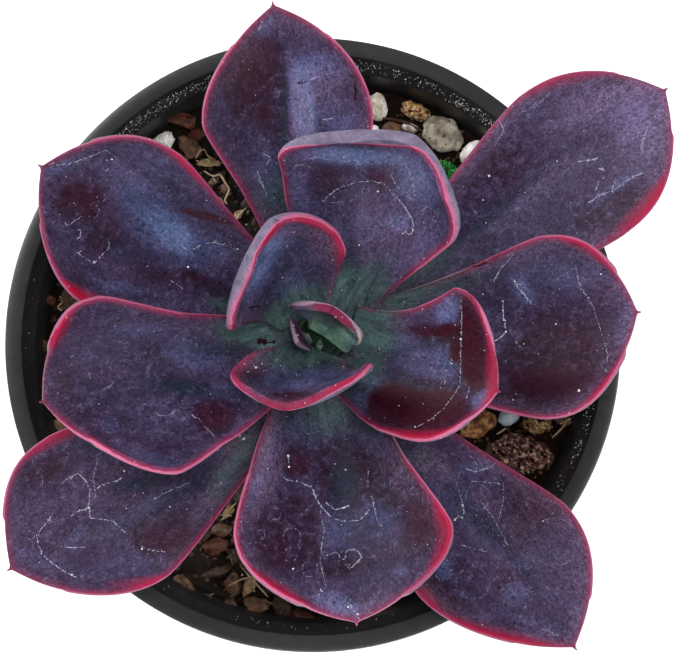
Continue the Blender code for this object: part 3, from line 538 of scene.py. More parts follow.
# Stones on the mix: middle x and y, half-sizes, turn about the vertical, and seed
STONES = {
    "pumice_chip": (-23.0, 30.6, 2.2, 1.4, 1.3, 40, 1),
    "beige_pebble": (9.6, 36.3, 1.5, 2.1, 1.4, 10, 2),
    "white_chip": (9.0, 32.6, 1.1, 0.9, 0.8, 20, 3),
    "tan_chip": (15.4, 35.6, 2.3, 1.3, 1.6, -25, 4),
    "grit_pebble": (14.6, 33.0, 1.3, 0.8, 0.9, -10, 5),
    "grey_pebble": (19.5, 32.0, 3.2, 2.6, 2.2, -33, 6),
    "white_pebble": (24.4, 28.7, 2.4, 2.2, 2.2, 40, 7),
    "moss_tuft": (19.6, 26.8, 3.0, 1.4, 0.9, -15, 8),
    "pale_pebble": (29.3, -10.8, 1.6, 1.2, 1.1, 15, 9),
    "rust_chip": (24.6, -11.8, 3.0, 1.9, 1.4, 20, 10),
    "golden_chip": (33.6, -11.9, 2.2, 1.4, 1.2, -5, 11),
    "lava_rock": (31.2, -16.2, 4.6, 2.8, 2.6, -15, 12),
    "slate_pebble": (30.6, -20.4, 2.6, 1.1, 1.0, -20, 13),
    "sand_pebble": (9.9, -37.0, 2.4, 1.4, 1.3, 20, 14),
}
STONE_SUNK = 0.3
MOSS_LEAFLETS = 520

# What lies loose in the mix: how much of it, and how far out from the pot's axis it is strewn
CHIP_COUNT, CHIP_TRIES, CHIP_REACH = 420, 6000, 38.5
CRUMB_COUNT, CRUMB_REACH = 3600, 39.6
FIBRE_TRIES, FIBRE_REACH, FIBRE_STEP, FIBRE_END = 150, 37.5, 1.2, 39.0
SUNK_IN_PEAT, STEM_CLEAR = 0.35, 5.0
# Chips of bark that show between the leaves: pixel, half-length, half-width, half-height, turn, tone
CHIPS = (
    (215, 546, 2.3, 1.5, 1.1, -25, "red"), (218, 572, 2.6, 0.8, 0.9, -15, "dark"),
    (187, 587, 2.7, 1.5, 1.2, 28, "brown"), (250, 585, 1.7, 0.9, 0.8, -60, "tan"),
    (255, 605, 2.3, 1.2, 1.1, 5, "brown"), (281, 608, 1.9, 1.4, 1.0, 30, "dark"),
    (303, 617, 2.5, 1.0, 0.9, 15, "red"), (222, 530, 1.9, 1.2, 0.9, 10, "brown"),
    (236, 556, 1.7, 1.0, 0.9, 40, "dark"), (205, 602, 1.8, 1.2, 0.8, -20, "dark"),
    (230, 606, 1.6, 1.1, 0.8, 15, "dark"), (243, 548, 1.4, 0.9, 0.7, 70, "brown"),
    (184, 120, 2.4, 1.4, 1.1, 10, "red"), (190, 146, 2.3, 1.6, 0.9, 35, "brown"),
    (208, 162, 2.2, 0.7, 0.6, 5, "tan"), (226, 190, 1.3, 0.8, 0.7, 50, "brown"),
    (238, 214, 1.2, 0.7, 0.6, -40, "tan"), (176, 108, 1.6, 1.0, 0.8, 20, "dark"),
    (51, 300, 1.6, 1.0, 0.8, 20, "red"), (44, 345, 1.4, 0.9, 0.7, 80, "dark"),
    (60, 425, 1.9, 0.8, 0.7, 50, "tan"), (48, 385, 1.5, 0.9, 0.7, 80, "dark"),
    (478, 412, 1.8, 1.0, 0.8, 20, "brown"), (572, 446, 1.6, 1.0, 0.9, 70, "dark"),
    (563, 420, 1.4, 0.8, 0.8, 20, "brown"), (492, 452, 1.7, 1.0, 0.8, 60, "dark"),
    (392, 128, 1.8, 1.2, 0.9, 20, "brown"), (408, 140, 1.8, 1.0, 0.8, 40, "dark"),
    (436, 140, 1.5, 0.8, 0.7, 20, "brown"), (396, 78, 1.8, 1.1, 0.8, 0, "dark"),
    (348, 612, 1.6, 0.9, 0.8, 0, "dark"), (228, 512, 1.3, 0.7, 0.8, -50, "tan"),
)
# Fibres in the mix: kind, radius and height over the mix, then the run's pixels
FIBRES = (
    ("straw", 0.16, 0.9, (240, 565), (250, 577), (260, 588), (268, 597)),
    ("straw", 0.12, 1.0, (228, 586), (240, 580), (254, 576)),
    ("straw", 0.14, 0.7, (222, 520), (228, 511), (236, 503)),
    ("straw", 0.10, 0.8, (219, 515), (232, 516)), ("straw", 0.15, 0.8, (33, 413), (42, 424), (52, 437)),
    ("straw", 0.12, 0.9, (38, 408), (50, 420), (63, 436)),
    ("dark", 0.16, 1.0, (36, 362), (32, 385), (35, 402), (44, 414)),
    ("straw", 0.10, 0.7, (45, 416), (58, 424), (68, 434)),
    ("straw", 0.09, 0.9, (52, 414), (62, 420), (72, 430)), ("straw", 0.08, 0.8, (56, 418), (60, 428)),
    ("root", 0.13, 0.8, (60, 296), (62, 302), (58, 307), (62, 311)),
    ("straw", 0.10, 0.8, (80, 300), (74, 303), (70, 312)),
    ("straw", 0.10, 0.8, (80, 302), (77, 308), (75, 314)),
    ("root", 0.17, 1.0, (204, 171), (213, 176), (220, 175), (226, 184), (229, 190), (225, 200), (227, 204)),
    ("root", 0.10, 0.9, (213, 178), (216, 182)),
    ("straw", 0.14, 0.9, (196, 158), (200, 151), (205, 149)),
    ("straw", 0.12, 1.0, (205, 150), (208, 156), (216, 160)),
    ("straw", 0.12, 1.0, (196, 160), (207, 166), (222, 163)),
    ("root", 0.14, 0.9, (234, 222), (240, 214), (246, 208)),
    ("straw", 0.10, 0.8, (215, 196), (222, 200), (224, 206)),
    ("dark", 0.22, 0.9, (375, 118), (390, 119), (404, 122), (420, 130), (434, 137)),
    ("dark", 0.18, 0.8, (400, 128), (415, 136), (428, 140), (438, 150)),
    ("root", 0.16, 0.8, (427, 141), (433, 145), (438, 150)),
    ("straw", 0.10, 0.9, (458, 113), (468, 111), (480, 113)),
    ("dark", 0.14, 0.9, (414, 138), (422, 134), (426, 142), (420, 148)),
    ("straw", 0.16, 1.6, (567, 421), (562, 428), (552, 438)),
    ("root", 0.15, 1.5, (506, 428), (502, 431), (497, 434)),
    ("straw", 0.12, 1.2, (560, 424), (572, 418)),
    ("dark", 0.12, 0.8, (495, 440), (490, 455), (498, 466)),
    ("straw", 0.08, 0.7, (190, 590), (202, 596), (214, 594)),
    ("straw", 0.09, 0.7, (262, 600), (274, 604)),
)
STONE_SLOTS = {
    "pumice_chip": "white_stone", "beige_pebble": "white_stone", "white_chip": "white_stone",
    "tan_chip": "golden_stone", "grit_pebble": "grey_stone", "grey_pebble": "grey_stone",
    "white_pebble": "white_stone", "pale_pebble": "white_stone", "rust_chip": "golden_stone",
    "golden_chip": "golden_stone", "lava_rock": "lava_stone", "slate_pebble": "grey_stone",
    "sand_pebble": "white_stone",
}
# The band inside the lip that dust lies on: where it starts, how far in it leans and how deep it goes
BAND_RADIUS, BAND_WIDTH, BAND_HEIGHT, BAND_DEPTH = 42.25, 1.0, RIM_HEIGHT - 0.8, 3.6
# Dust on the pot: from one angle to another, anticlockwise from +X, and how many specks
POT_DUST = (
    (96, 140, 420), (48, 96, 260), (40, 60, 120), (-32, 6, 160), (140, 250, 26), (250, 328, 40),
    (6, 40, 24),
)
# Fine specks for each millimetre of a leaf's length, and the larger ones: pixel and radius
SPECKS_PER_MM = 1.1
LEAF_DUST = {
    "leaf_01": (
        (557, 161, 0.12), (483, 200, 0.11), (486, 223, 0.11), (489, 176, 0.18), (584, 131, 0.08),
    ),
    "leaf_02": (
        (543, 521, 0.10), (463, 505, 0.14), (455, 520, 0.14), (482, 625, 0.12), (553, 513, 0.08),
    ),
    "leaf_04": (
        (124, 471, 0.17), (142, 549, 0.14), (170, 507, 0.12), (187, 509, 0.11), (221, 483, 0.11),
        (89, 508, 0.16), (244, 439, 0.22), (240, 436, 0.14), (72, 575, 0.12),
    ),
    "leaf_05": (
        (579, 391, 0.22), (556, 324, 0.10), (503, 301, 0.13), (503, 310, 0.13), (504, 320, 0.16),
        (506, 332, 0.17), (483, 294, 0.10), (601, 274, 0.12), (516, 342, 0.09), (513, 400, 0.15),
        (516, 394, 0.10), (524, 344, 0.08),
    ),
    "leaf_06": (
        (94, 262, 0.12), (188, 267, 0.14), (112, 159, 0.12), (107, 160, 0.10), (238, 249, 0.10),
    ),
    "leaf_07": (
        (293, 569, 0.15), (288, 456, 0.18), (289, 467, 0.18), (344, 508, 0.14), (335, 464, 0.10),
        (346, 470, 0.10), (348, 607, 0.16), (358, 614, 0.14), (322, 591, 0.10),
    ),
    "leaf_08": ((359, 245, 0.14), (378, 191, 0.16), (344, 157, 0.12), (413, 230, 0.12)),
    "leaf_10": (
        (399, 406, 0.12), (423, 404, 0.11), (461, 339, 0.14), (452, 364, 0.10), (415, 427, 0.10),
    ),
    "leaf_12": ((256, 368, 0.12), (262, 364, 0.10), (248, 372, 0.08)),
}

# Studio, in metres and watts: half the floor, what the lamps aim at, and the lamps by name, place, width
# and power
FLOOR_HALF = 3.0
LAMP_AIM = (0.0, 0.0, 0.07)
LAMPS = (
    ("key_light", (-0.75, 0.55, 0.75), 0.6, 11.0),
    ("fill_light", (0.85, -0.3, 0.6), 0.7, 5.0),
    ("front_light", (-0.1, -0.95, 0.6), 0.7, 5.0),
)
TOP_LAMP = (0.12, 0.10, 1.15), 0.4, 8.0


def linear(code):
    """An sRGB hex colour as linear red, green, blue and alpha."""
    parts = [int(code[place : place + 2], 16) / 255 for place in (0, 2, 4)]
    return (*[p / 12.92 if p <= 0.04045 else ((p + 0.055) / 1.055) ** 2.4 for p in parts], 1.0)


# Camera


def camera_axes():
    """The camera's right, up and back."""
    lean = math.radians(CAMERA_LEAN)
    back = Vector((0, -math.sin(lean), math.cos(lean)))
    right = Vector((1, 0, 0))
    return right, back.cross(right), back


def to_pixels(points):
    """Where points, in millimetres, show in the photograph."""
    right, up, back = camera_axes()
    eye = CAMERA_AIM + back * CAMERA_AWAY
    offsets = points - np.array(eye)
    depth = -offsets @ np.array(back)
    focal = PIXELS_PER_MM * CAMERA_AWAY
    x = PHOTO_WIDE / 2 + focal * (offsets @ np.array(right)) / depth
    y = PHOTO_HIGH / 2 - focal * (offsets @ np.array(up)) / depth
    return np.stack([x, y], axis=-1)


def sight_line(pixel):
    """The camera's eye and the direction of its ray through a pixel."""
    right, up, back = camera_axes()
    focal = PIXELS_PER_MM * CAMERA_AWAY
    across, down = (pixel[0] - PHOTO_WIDE / 2) / focal, (pixel[1] - PHOTO_HIGH / 2) / focal
    return CAMERA_AIM + back * CAMERA_AWAY, (right * across - up * down - back).normalized()


def place_camera():
    """The photograph's camera, which shows what it showed."""
    right, up, back = camera_axes()
    lens = bpy.data.cameras.new("photo_camera")
    lens.sensor_width = 36.0
    lens.lens = 36.0 * PIXELS_PER_MM * CAMERA_AWAY / PHOTO_WIDE
    lens.clip_start = 0.01
    camera = bpy.data.objects.new("photo_camera", lens)
    bpy.context.scene.collection.objects.link(camera)
    turn = Matrix((right, up, back)).transposed().to_4x4()
    camera.matrix_world = Matrix.Translation((CAMERA_AIM + back * CAMERA_AWAY) * MM) @ turn
    bpy.context.scene.camera = camera


# Meshes


def piece(name, points, faces, finishes, which=None):
    """An object from points in millimetres, with its finishes and, for each face, which it takes."""
    mesh = bpy.data.meshes.new(name)
    mesh.from_pydata(np.asarray(points, dtype=float) * MM, [], faces)
    for finish in finishes:
        mesh.materials.append(finish)
    if which is not None:
        mesh.polygons.foreach_set("material_index", which)
    mesh.shade_smooth()
    thing = bpy.data.objects.new(name, mesh)
    bpy.context.scene.collection.objects.link(thing)
    return thing


def attribute(thing, name, values, kind="FLOAT"):
    """Gives each point of a piece a value, or a vector, that its material reads by name."""
    layer = thing.data.attributes.new(name, kind, "POINT")
    entry = "vector" if kind == "FLOAT_VECTOR" else "value"
    layer.data.foreach_set(entry, np.asarray(values, dtype=float).ravel())


def settle(thing, slot, *nodes):
    """Tells the frame what carries a piece and which nodes of the CAD it replaces. The slot is not used."""
    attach(thing, "root")
    if nodes:
        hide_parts(*nodes)


def points_and_faces(shape):
    """What a bmesh holds, which is freed then."""
    shape.verts.index_update()
    points = [vertex.co.copy() for vertex in shape.verts]
    faces = [[vertex.index for vertex in face.verts] for face in shape.faces]
    shape.free()
    return points, faces


def ball(fineness):
    """Points and faces of a ball with a radius of 1."""
    shape = bmesh.new()
    bmesh.ops.create_icosphere(shape, subdivisions=fineness, radius=1.0)
    return points_and_faces(shape)


def strip_faces(rows, sides):
    """Quads that join rings of points, one ring after another, as lists of corner numbers."""
    faces = []
    for row in range(rows - 1):
        for side in range(sides):
            ahead = (side + 1) % sides
            here, there = row * sides, (row + 1) * sides
            faces.append([here + side, here + ahead, there + ahead, there + side])
    return faces


def grid_faces(rows, columns, start=0, flip=False):
    """Quads over a grid of points, as an array of corner numbers."""
    first = start + np.arange(rows - 1)[:, None] * columns + np.arange(columns - 1)[None, :]
    corners = [first, first + 1, first + 1 + columns, first + columns]
    if flip:
        corners.reverse()
    return np.stack(corners, axis=-1).reshape(-1, 4)


# Materials

# Settings and sockets that many nodes share: a Mix of colours turns UNDER into OVER by SHARE
TIMES = {"operation": "MULTIPLY"}
TIMES_CLAMPED = {"operation": "MULTIPLY", "use_clamp": True}
BLEND = {"data_type": "RGBA"}
SHARE, UNDER, OVER = 0, 6, 7


def outlet(source):
    """A node's first live output; a socket stays as it is."""
    if isinstance(source, bpy.types.Node):
        return next(output for output in source.outputs if output.enabled)
    return source


def add(tree, kind, settings=(), links=()):
    """Adds a shader node. Settings go to its properties, sockets or ramp stops, links to its sockets."""
    node = tree.nodes.new("ShaderNode" + kind)
    for key, value in dict(settings).items():
        if key == "stops":
            stops = node.color_ramp.elements
            for index, (place, colour) in enumerate(value):
                stop = stops[index] if index < 2 else stops.new(place)
                stop.position = place
                stop.color = linear(colour) if isinstance(colour, str) else (colour, colour, colour, 1)
        elif isinstance(key, str) and hasattr(node, key):
            setattr(node, key, value)
        else:
            node.inputs[key].default_value = linear(value) if isinstance(value, str) else value
    for key, source in dict(links).items():
        tree.links.new(outlet(source), node.inputs[key])
    return node


def new_material(name):
    """A material with its node tree and its shader."""
    material = bpy.data.materials.new(name)
    material.use_nodes = True
    return material, material.node_tree, material.node_tree.nodes["Principled BSDF"]


def connect(tree, shader, **sources):
    """Links nodes to the shader's sockets, an underscore standing for a space."""
    for key, source in sources.items():
        tree.links.new(outlet(source), shader.inputs[key.replace("_", " ")])


def echeveria_skin(name, greens, pinks, crimsons, backs):
    """Living leaf skin, grown: plum pigment over green tissue, under a thin powder of wax. The wax turns
    the plum blue-grey and dulls it; where it is rubbed off, the skin is deep red and glossy. Patches of
    painted sheen in blue-grey, painted shade in dark navy, and painted light and shade of the creases lie
    on it."""
    material, tree, shader = new_material(name)
    shader.inputs["IOR"].default_value = 1.42
    shader.inputs["Specular IOR Level"].default_value = 0.2
    margin, wax_and_sheen, wine, sap, blush, powder, glow, painted_shade = (
        add(tree, "Attribute", {"attribute_name": title}).outputs["Fac"]
        for title in ("margin", "wax_and_sheen", "wine", "sap", "blush", "powder", "glow", "painted_shade")
    )
    blade = add(tree, "Attribute", {"attribute_name": "blade"}).outputs["Vector"]
    # clouds of wax 8 mm across, mottling of 1.2 mm, grains of 0.3 mm, broad veins, creases of 0.5 mm that
    # run along the leaf, and slow ripples. Real wax grains of 0.02 mm would not show, so these are coarser.
    drawn_out = add(tree, "VectorMath", {**TIMES, 1: (1.0, 0.14, 1.0)}, {0: blade})
    creased = add(tree, "VectorMath", {**TIMES, 1: (1.5, 0.6, 1.0)}, {0: blade})
    clouds, mottle, grain, veins, creases, ripple = (
        add(
            tree, "TexNoise", {"Scale": scale, "Detail": detail, "Roughness": rough, "Distortion": twist},
            {"Vector": place},
        )
        for place, scale, detail, rough, twist in (
            (blade, 0.12, 5.0, 0.6, 0.0), (blade, 0.8, 5.0, 0.7, 0.6), (blade, 2.6, 2.0, 0.7, 0.0),
            (drawn_out, 0.8, 4.0, 0.6, 0.5), (creased, 1.3, 4.0, 0.7, 1.8), (blade, 0.5, 1.5, 0.5, 2.2),
        )
    )
    # how much each pattern thins or thickens what it lies over, from its troughs to its crests
    patchy, blotched, speckled, streaky, crease_shading, pitted, wobble = (
        add(
            tree, "MapRange", {"From Min": trough, "From Max": crest, "To Min": least, "To Max": most},
            {"Value": pattern},
        )
        for pattern, trough, crest, least, most in (
            (clouds, 0.3, 0.7, 0.4, 1.45), (mottle, 0.35, 0.65, 0.6, 1.35), (grain, 0.3, 0.7, 0.6, 1.35),
            (veins, 0.3, 0.7, 0.75, 1.2), (creases, 0.3, 0.7, 0.55, 1.42), (grain, 0.3, 0.7, 0.78, 1.2),
            (mottle, 0.3, 0.7, -0.08, 0.08),
        )
    )

    # plum skin, wine red where it is bare
    plum = {"stops": ((0.34, "1b0916"), (0.5, "291529"), (0.66, "3b2e48"))}
    skin = add(tree, "ValToRGB", plum, {"Fac": mottle})
    bared = add(tree, "Math", TIMES_CLAMPED, {0: wine, 1: blotched})
    skin = add(tree, "Mix", {**BLEND, OVER: "2e0513"}, {SHARE: bared, UNDER: skin})
    # thin wax is grey-violet; thick wax and painted sheen, where the patches are strongest, are sky blue
    wax = add(tree, "ValToRGB", {"stops": ((0.35, "3e5078"), (0.65, "585278"))}, {"Fac": clouds})
    thick_wax_or_sheen = add(tree, "MapRange", {"From Min": 0.8, "From Max": 1.5}, {"Value": wax_and_sheen})
    wax = add(tree, "Mix", {**BLEND, OVER: "5a6c92"}, {SHARE: thick_wax_or_sheen, UNDER: wax})
    wax_sheen_share = wax_and_sheen
    for uneven in (patchy, speckled, streaky):
        wax_sheen_share = add(tree, "Math", TIMES, {0: wax_sheen_share, 1: uneven})
    kept = add(tree, "Math", {"operation": "SUBTRACT", 0: 1.0, "use_clamp": True}, {1: bared})
    wax_sheen_share = add(tree, "Math", TIMES_CLAMPED, {0: wax_sheen_share, 1: kept})
    leaf = add(tree, "Mix", BLEND, {SHARE: wax_sheen_share, UNDER: skin, OVER: wax})
    # mauve dust, then the green of the tissue, then painted shade in dark navy where the blade dips or lies
    # under another leaf
    mauve = add(tree, "ValToRGB", {"stops": ((0.35, "543c58"), (0.65, "78627e"))}, {"Fac": creases})
    green = add(tree, "ValToRGB", {"stops": ((0.2, greens[0]), (0.8, greens[1]))}, {"Fac": veins})
    for amount, uneven, colour in ((powder, speckled, mauve), (sap, streaky, green)):
        share = add(tree, "Math", TIMES_CLAMPED, {0: amount, 1: uneven})
        leaf = add(tree, "Mix", BLEND, {SHARE: share, UNDER: leaf, OVER: colour})
    painted_shade_share = add(tree, "Math", TIMES_CLAMPED, {0: painted_shade, 1: blotched})
    leaf = add(tree, "Mix", {**BLEND, OVER: "1b2231"}, {SHARE: painted_shade_share, UNDER: leaf})
    # creases are painted light and shade, lighter on their crests and darker in their troughs; grains and
    # dark
    #     pores of 0.3 mm, about 1 mm apart, darken or lighten the lot too
    pores = add(tree, "TexVoronoi", {"Scale": 0.75}, {"Vector": blade})
    pore = add(tree, "ValToRGB", {"stops": ((0.10, 0.5), (0.2, 1.0))}, {"Fac": pores})
    shade = add(tree, "Math", TIMES, {0: crease_shading, 1: pitted})
    shade = add(tree, "Math", TIMES, {0: shade, 1: pore})
    leaf = add(tree, "VectorMath", {"operation": "SCALE"}, {0: leaf, "Scale": shade})
    # fine pale curls where the wax has been touched, 0.15 mm wide
    curls = add(tree, "ValToRGB", {"stops": ((0.475, 0.0), (0.5, 0.4), (0.525, 0.0))}, {"Fac": ripple})
    touched = add(tree, "MapRange", {"From Min": 0.5, "From Max": 0.6}, {"Value": mottle})
    touched = add(tree, "Math", TIMES, {0: touched, 1: kept})
    curls = add(tree, "Math", TIMES, {0: curls, 1: touched})
    leaf = add(tree, "Mix", {**BLEND, OVER: "7f7c9c"}, {SHARE: curls, UNDER: leaf})

    # the margin: a pink line at the very edge, and crimson that fades into the blade within 1 mm, further
    # where it blushes, and less over green tissue
    edge = add(tree, "Math", {"operation": "ADD"}, {0: margin, 1: wobble})
    spread = add(tree, "MapRange", {"To Min": 1.1, "To Max": 3.8}, {"Value": blush})
    fade = add(tree, "Math", {"operation": "DIVIDE"}, {0: edge, 1: spread})
    flush = add(tree, "ValToRGB", {"stops": ((0.2, 0.95), (0.5, 0.4), (1.0, 0.0))}, {"Fac": fade})
    less_over_green = {"From Min": 0.2, "From Max": 0.9, "To Min": 1.0, "To Max": 0.15}
    ungreen = add(tree, "MapRange", less_over_green, {"Value": sap})
    strong = add(tree, "Math", {"operation": "ADD"}, {0: glow, 1: blush})
    strong = add(tree, "MapRange", {"From Max": 0.4, "To Min": 0.55, "To Max": 1.0}, {"Value": strong})
    for amount in (ungreen, strong):
        flush = add(tree, "Math", TIMES, {0: flush, 1: amount})
    crimson = add(tree, "Mix", {**BLEND, UNDER: crimsons[0], OVER: crimsons[1]}, {SHARE: blush})
    leaf = add(tree, "Mix", BLEND, {SHARE: flush, UNDER: leaf, OVER: crimson})
    pink = add(tree, "Mix", {**BLEND, UNDER: pinks[0], OVER: pinks[1]}, {SHARE: glow})
    pale = add(tree, "MapRange", {"From Min": 0.3, "From Max": 0.8}, {"Value": sap})
    pink = add(tree, "Mix", {**BLEND, OVER: "9c8a92"}, {SHARE: pale, UNDER: pink})
    width = add(tree, "MapRange", {"To Min": 0.16, "To Max": 0.42}, {"Value": glow})
    inward = add(tree, "Math", {"operation": "DIVIDE"}, {0: edge, 1: width})
    line = add(tree, "ValToRGB", {"stops": ((0.45, 1.0), (1.0, 0.0))}, {"Fac": inward})
    leaf = add(tree, "Mix", BLEND, {SHARE: line, UNDER: leaf, OVER: pink})

    # beyond the line is the back of the leaf
    back = add(tree, "ValToRGB", {"stops": ((0.3, backs[0]), (0.7, backs[1]))}, {"Fac": mottle})
    front = add(tree, "MapRange", {"From Min": -0.22, "From Max": -0.02}, {"Value": edge})
    leaf = add(tree, "Mix", BLEND, {SHARE: front, UNDER: back, OVER: leaf})

    # wax is dull and rough, bare skin smoother and glossier
    dulled = {"From Min": 0.0, "From Max": 0.9, "To Min": 0.46, "To Max": 0.62}
    gloss = add(tree, "MapRange", dulled, {"Value": wax_sheen_share})
    relief = add(tree, "Math", {"operation": "ADD"}, {0: creases, 1: mottle})
    raised = add(tree, "MapRange", {"To Min": 0.45}, {"Value": kept})
    relief = add(tree, "Math", TIMES, {0: relief, 1: raised})
    bump = add(tree, "Bump", {"Strength": 0.6, "Distance": 0.16 * MM}, {"Height": relief})
    connect(tree, shader, Base_Color=leaf, Roughness=gloss, Normal=bump)
    return material


def place_in_mm(tree):
    """The place on the object, in millimetres, that patterns are laid out by."""
    place = add(tree, "TexCoord").outputs["Object"]
    return add(tree, "VectorMath", {"operation": "SCALE", "Scale": 1 / MM}, {0: place})


def mottled(name, dark, light, grain_mm, roughness, relief_mm=0.05, ior=1.5):
    """A finish whose tone wanders between two colours in patches of that grain, with a little relief."""
    material, tree, shader = new_material(name)
    grain = {"Scale": 1 / grain_mm, "Detail": 6.0, "Roughness": 0.65}
    tones = add(tree, "TexNoise", grain, {"Vector": place_in_mm(tree)})
    colour = add(tree, "ValToRGB", {"stops": ((0.32, dark), (0.68, light))}, {"Fac": tones})
    bump = add(tree, "Bump", {"Strength": 0.6, "Distance": relief_mm * MM}, {"Height": tones})
    shader.inputs["IOR"].default_value = ior
    shader.inputs["Roughness"].default_value = roughness
    connect(tree, shader, Base_Color=colour, Normal=bump)
    return material


def mineral(name, tones, grain_mm, roughness, spots=None, pits=None, relief_mm=0.12, ior=1.55):
    """Stone: three tones in mottling of that grain, with gritty relief. Spots of stain are a colour and a
    share of the surface; pits are a colour and how far apart they are, in millimetres."""
    material, tree, shader = new_material(name)
    per_mm = place_in_mm(tree)
    grain = {"Scale": 1 / grain_mm, "Detail": 8.0, "Roughness": 0.68}
    mottle = add(tree, "TexNoise", grain, {"Vector": per_mm})
    # grit of 0.2 mm: the finer grit of a real stone would not show
    grit = add(tree, "TexNoise", {"Scale": 5.0, "Detail": 3.0, "Roughness": 0.7}, {"Vector": per_mm})
    stops = tuple(zip((0.33, 0.5, 0.66), tones))
    colour = add(tree, "ValToRGB", {"stops": stops}, {"Fac": mottle})
    if spots:
        # blots about 0.9 mm across
        blots = {"Scale": 1.1, "Detail": 5.0, "Roughness": 0.75}
        stain = add(tree, "TexNoise", blots, {"Vector": per_mm})
        edge = 0.66 - spots[1]
        mask = add(tree, "ValToRGB", {"stops": ((edge, 0.0), (edge + 0.05, 1.0))}, {"Fac": stain})
        colour = add(tree, "Mix", {**BLEND, OVER: spots[0]}, {SHARE: mask, UNDER: colour})
    relief = add(tree, "Math", {"operation": "ADD"}, {0: mottle, 1: grit})
    if pits:
        cells = add(tree, "TexVoronoi", {"Scale": 1 / pits[1]}, {"Vector": per_mm})
        hollow = add(tree, "ValToRGB", {"stops": ((0.26, 1.0), (0.38, 0.0))}, {"Fac": cells})
        colour = add(tree, "Mix", {**BLEND, OVER: pits[0]}, {SHARE: hollow, UNDER: colour})
        relief = add(tree, "Math", {"operation": "SUBTRACT"}, {0: relief, 1: hollow})
    bump = add(tree, "Bump", {"Strength": 0.8, "Distance": relief_mm * MM}, {"Height": relief})
    shader.inputs["IOR"].default_value = ior
    shader.inputs["Roughness"].default_value = roughness
    connect(tree, shader, Base_Color=colour, Normal=bump)
    return material


# Leaves


def clamp(value, low=0.0, high=1.0):
    return np.minimum(np.maximum(value, low), high)


def half_width(leaf, side, along):
    """Half the blade's width on one side, at shares of the blade's length."""
    widest, base = leaf["widest"][side], leaf["base"][side]
    before = 1 - clamp(1 - clamp(along / widest) ** leaf["neck"][side]) ** leaf["turn"][side]
    after = 1 - clamp((along - widest) / (1 - widest)) ** leaf["blunt"][side]
    return leaf["width"][side] * np.where(along < widest, base + (1 - base) * before, after)


def midrib(leaf, shares):
    """The point, anticlockwise side and upward normal at each share of the midrib."""
    fine = np.linspace(0, 1, MIDRIB_STEPS + 1)
    rise = leaf["rise"][0] + (leaf["rise"][1] - leaf["rise"][0]) * fine
    rise = np.radians(rise + leaf["curl"] * clamp((fine - 0.6) / 0.4))
    yaw = np.radians(leaf["azimuth"] + leaf["sweep"] * (2 * fine - 0.5))
    ahead = np.stack([np.cos(yaw) * np.cos(rise), np.sin(yaw) * np.cos(rise), np.sin(rise)], axis=1)
    azimuth = math.radians(leaf["azimuth"])
    root = np.array([STEM_X, STEM_Y, leaf["height"]])
    root += leaf["reach"] * np.array([math.cos(azimuth), math.sin(azimuth), 0])
    steps = (ahead[1:] + ahead[:-1]) * (0.5 * leaf["length"] / MIDRIB_STEPS)
    places = root + np.concatenate([np.zeros((1, 3)), np.cumsum(steps, axis=0)])
    at = lambda table: np.stack([np.interp(shares, fine, table[:, axis]) for axis in range(3)], axis=1)
    place, direction = at(places), at(ahead)
    yaw = np.interp(shares, fine, yaw)
    side = np.stack([-np.sin(yaw), np.cos(yaw), np.zeros_like(yaw)], axis=1)
    normal = np.cross(direction, side)
    roll = (np.radians(leaf["roll"]) * clamp(shares / 0.6) ** 1.5)[:, None]
    rolled_side = side * np.cos(roll) + normal * np.sin(roll)
    return place, rolled_side, normal * np.cos(roll) - side * np.sin(roll)


def blade_sheet(leaf, shares, across):
    """The upper face over a grid of shares and across, -1 being the clockwise edge, and the half-width."""
    place, sideways, normal = midrib(leaf, shares)
    wide = np.zeros((len(shares), len(across)))
    cup = np.zeros_like(wide)
    blunt = clamp((1 - shares) * leaf["length"] / leaf["point"], 0.5, 1)
    point_half = POINT_HALF * leaf["point"] * blunt
    for side in (0, 1):
        here = across >= 0 if side == 0 else across < 0
        half = half_width(leaf, side, shares / (1 - leaf["point"] / leaf["length"]))
        half = np.maximum(half, point_half)
        bend = np.radians(leaf["cup"][side]) * clamp(shares / 0.45, 0.25)
        wide[:, here] = half[:, None]
        cup[:, here] = (bend * clamp(2 * half / leaf["width"][0]))[:, None]
    turn = 2 * cup * np.abs(across)
    level = (np.sign(across) * wide * np.sin(turn) / (2 * cup))[..., None]
    lift = (wide * (1 - np.cos(turn)) / (2 * cup))[..., None]
    return place[:, None] + sideways[:, None] * level + normal[:, None] * lift, wide


def blade_depth(leaf, share, across):
    """How thick the blade is, in millimetres: most over the midrib, and thinner towards the tip."""
    middle = LEAF_MIDRIB * math.sqrt(leaf["length"] / 50)
    body = (middle - leaf["edge"]) * (1 - np.abs(across) ** 2.2)
    body = body * clamp(1.15 - 0.6 * share**2, 0.3, 1.2)
    return leaf["edge"] + body * np.sqrt(clamp((1 - share) / 0.12))


def rounded(distance, radius):
    """How full a rounded edge is, from 0 at the edge to 1 at that distance from it."""
    return np.sqrt(np.maximum(1 - (1 - clamp(distance / radius)) ** 2, 0.0))


def patches(pixels, spots):
    """The sum of elliptical spots at each pixel, soft ones unless a spot says how crisp it is."""
    total = np.zeros(pixels.shape[:-1])
    for x, y, long_half, short_half, turn, strength, *crisp in spots:
        angle = math.radians(turn)
        dx, dy = pixels[..., 0] - x, pixels[..., 1] - y
        along = (dx * math.cos(angle) + dy * math.sin(angle)) / long_half
        aside = (dy * math.cos(angle) - dx * math.sin(angle)) / short_half
        total += strength * np.exp(-1.1 * (along**2 + aside**2) ** (1.4 * sum(crisp or [1])))
    return total


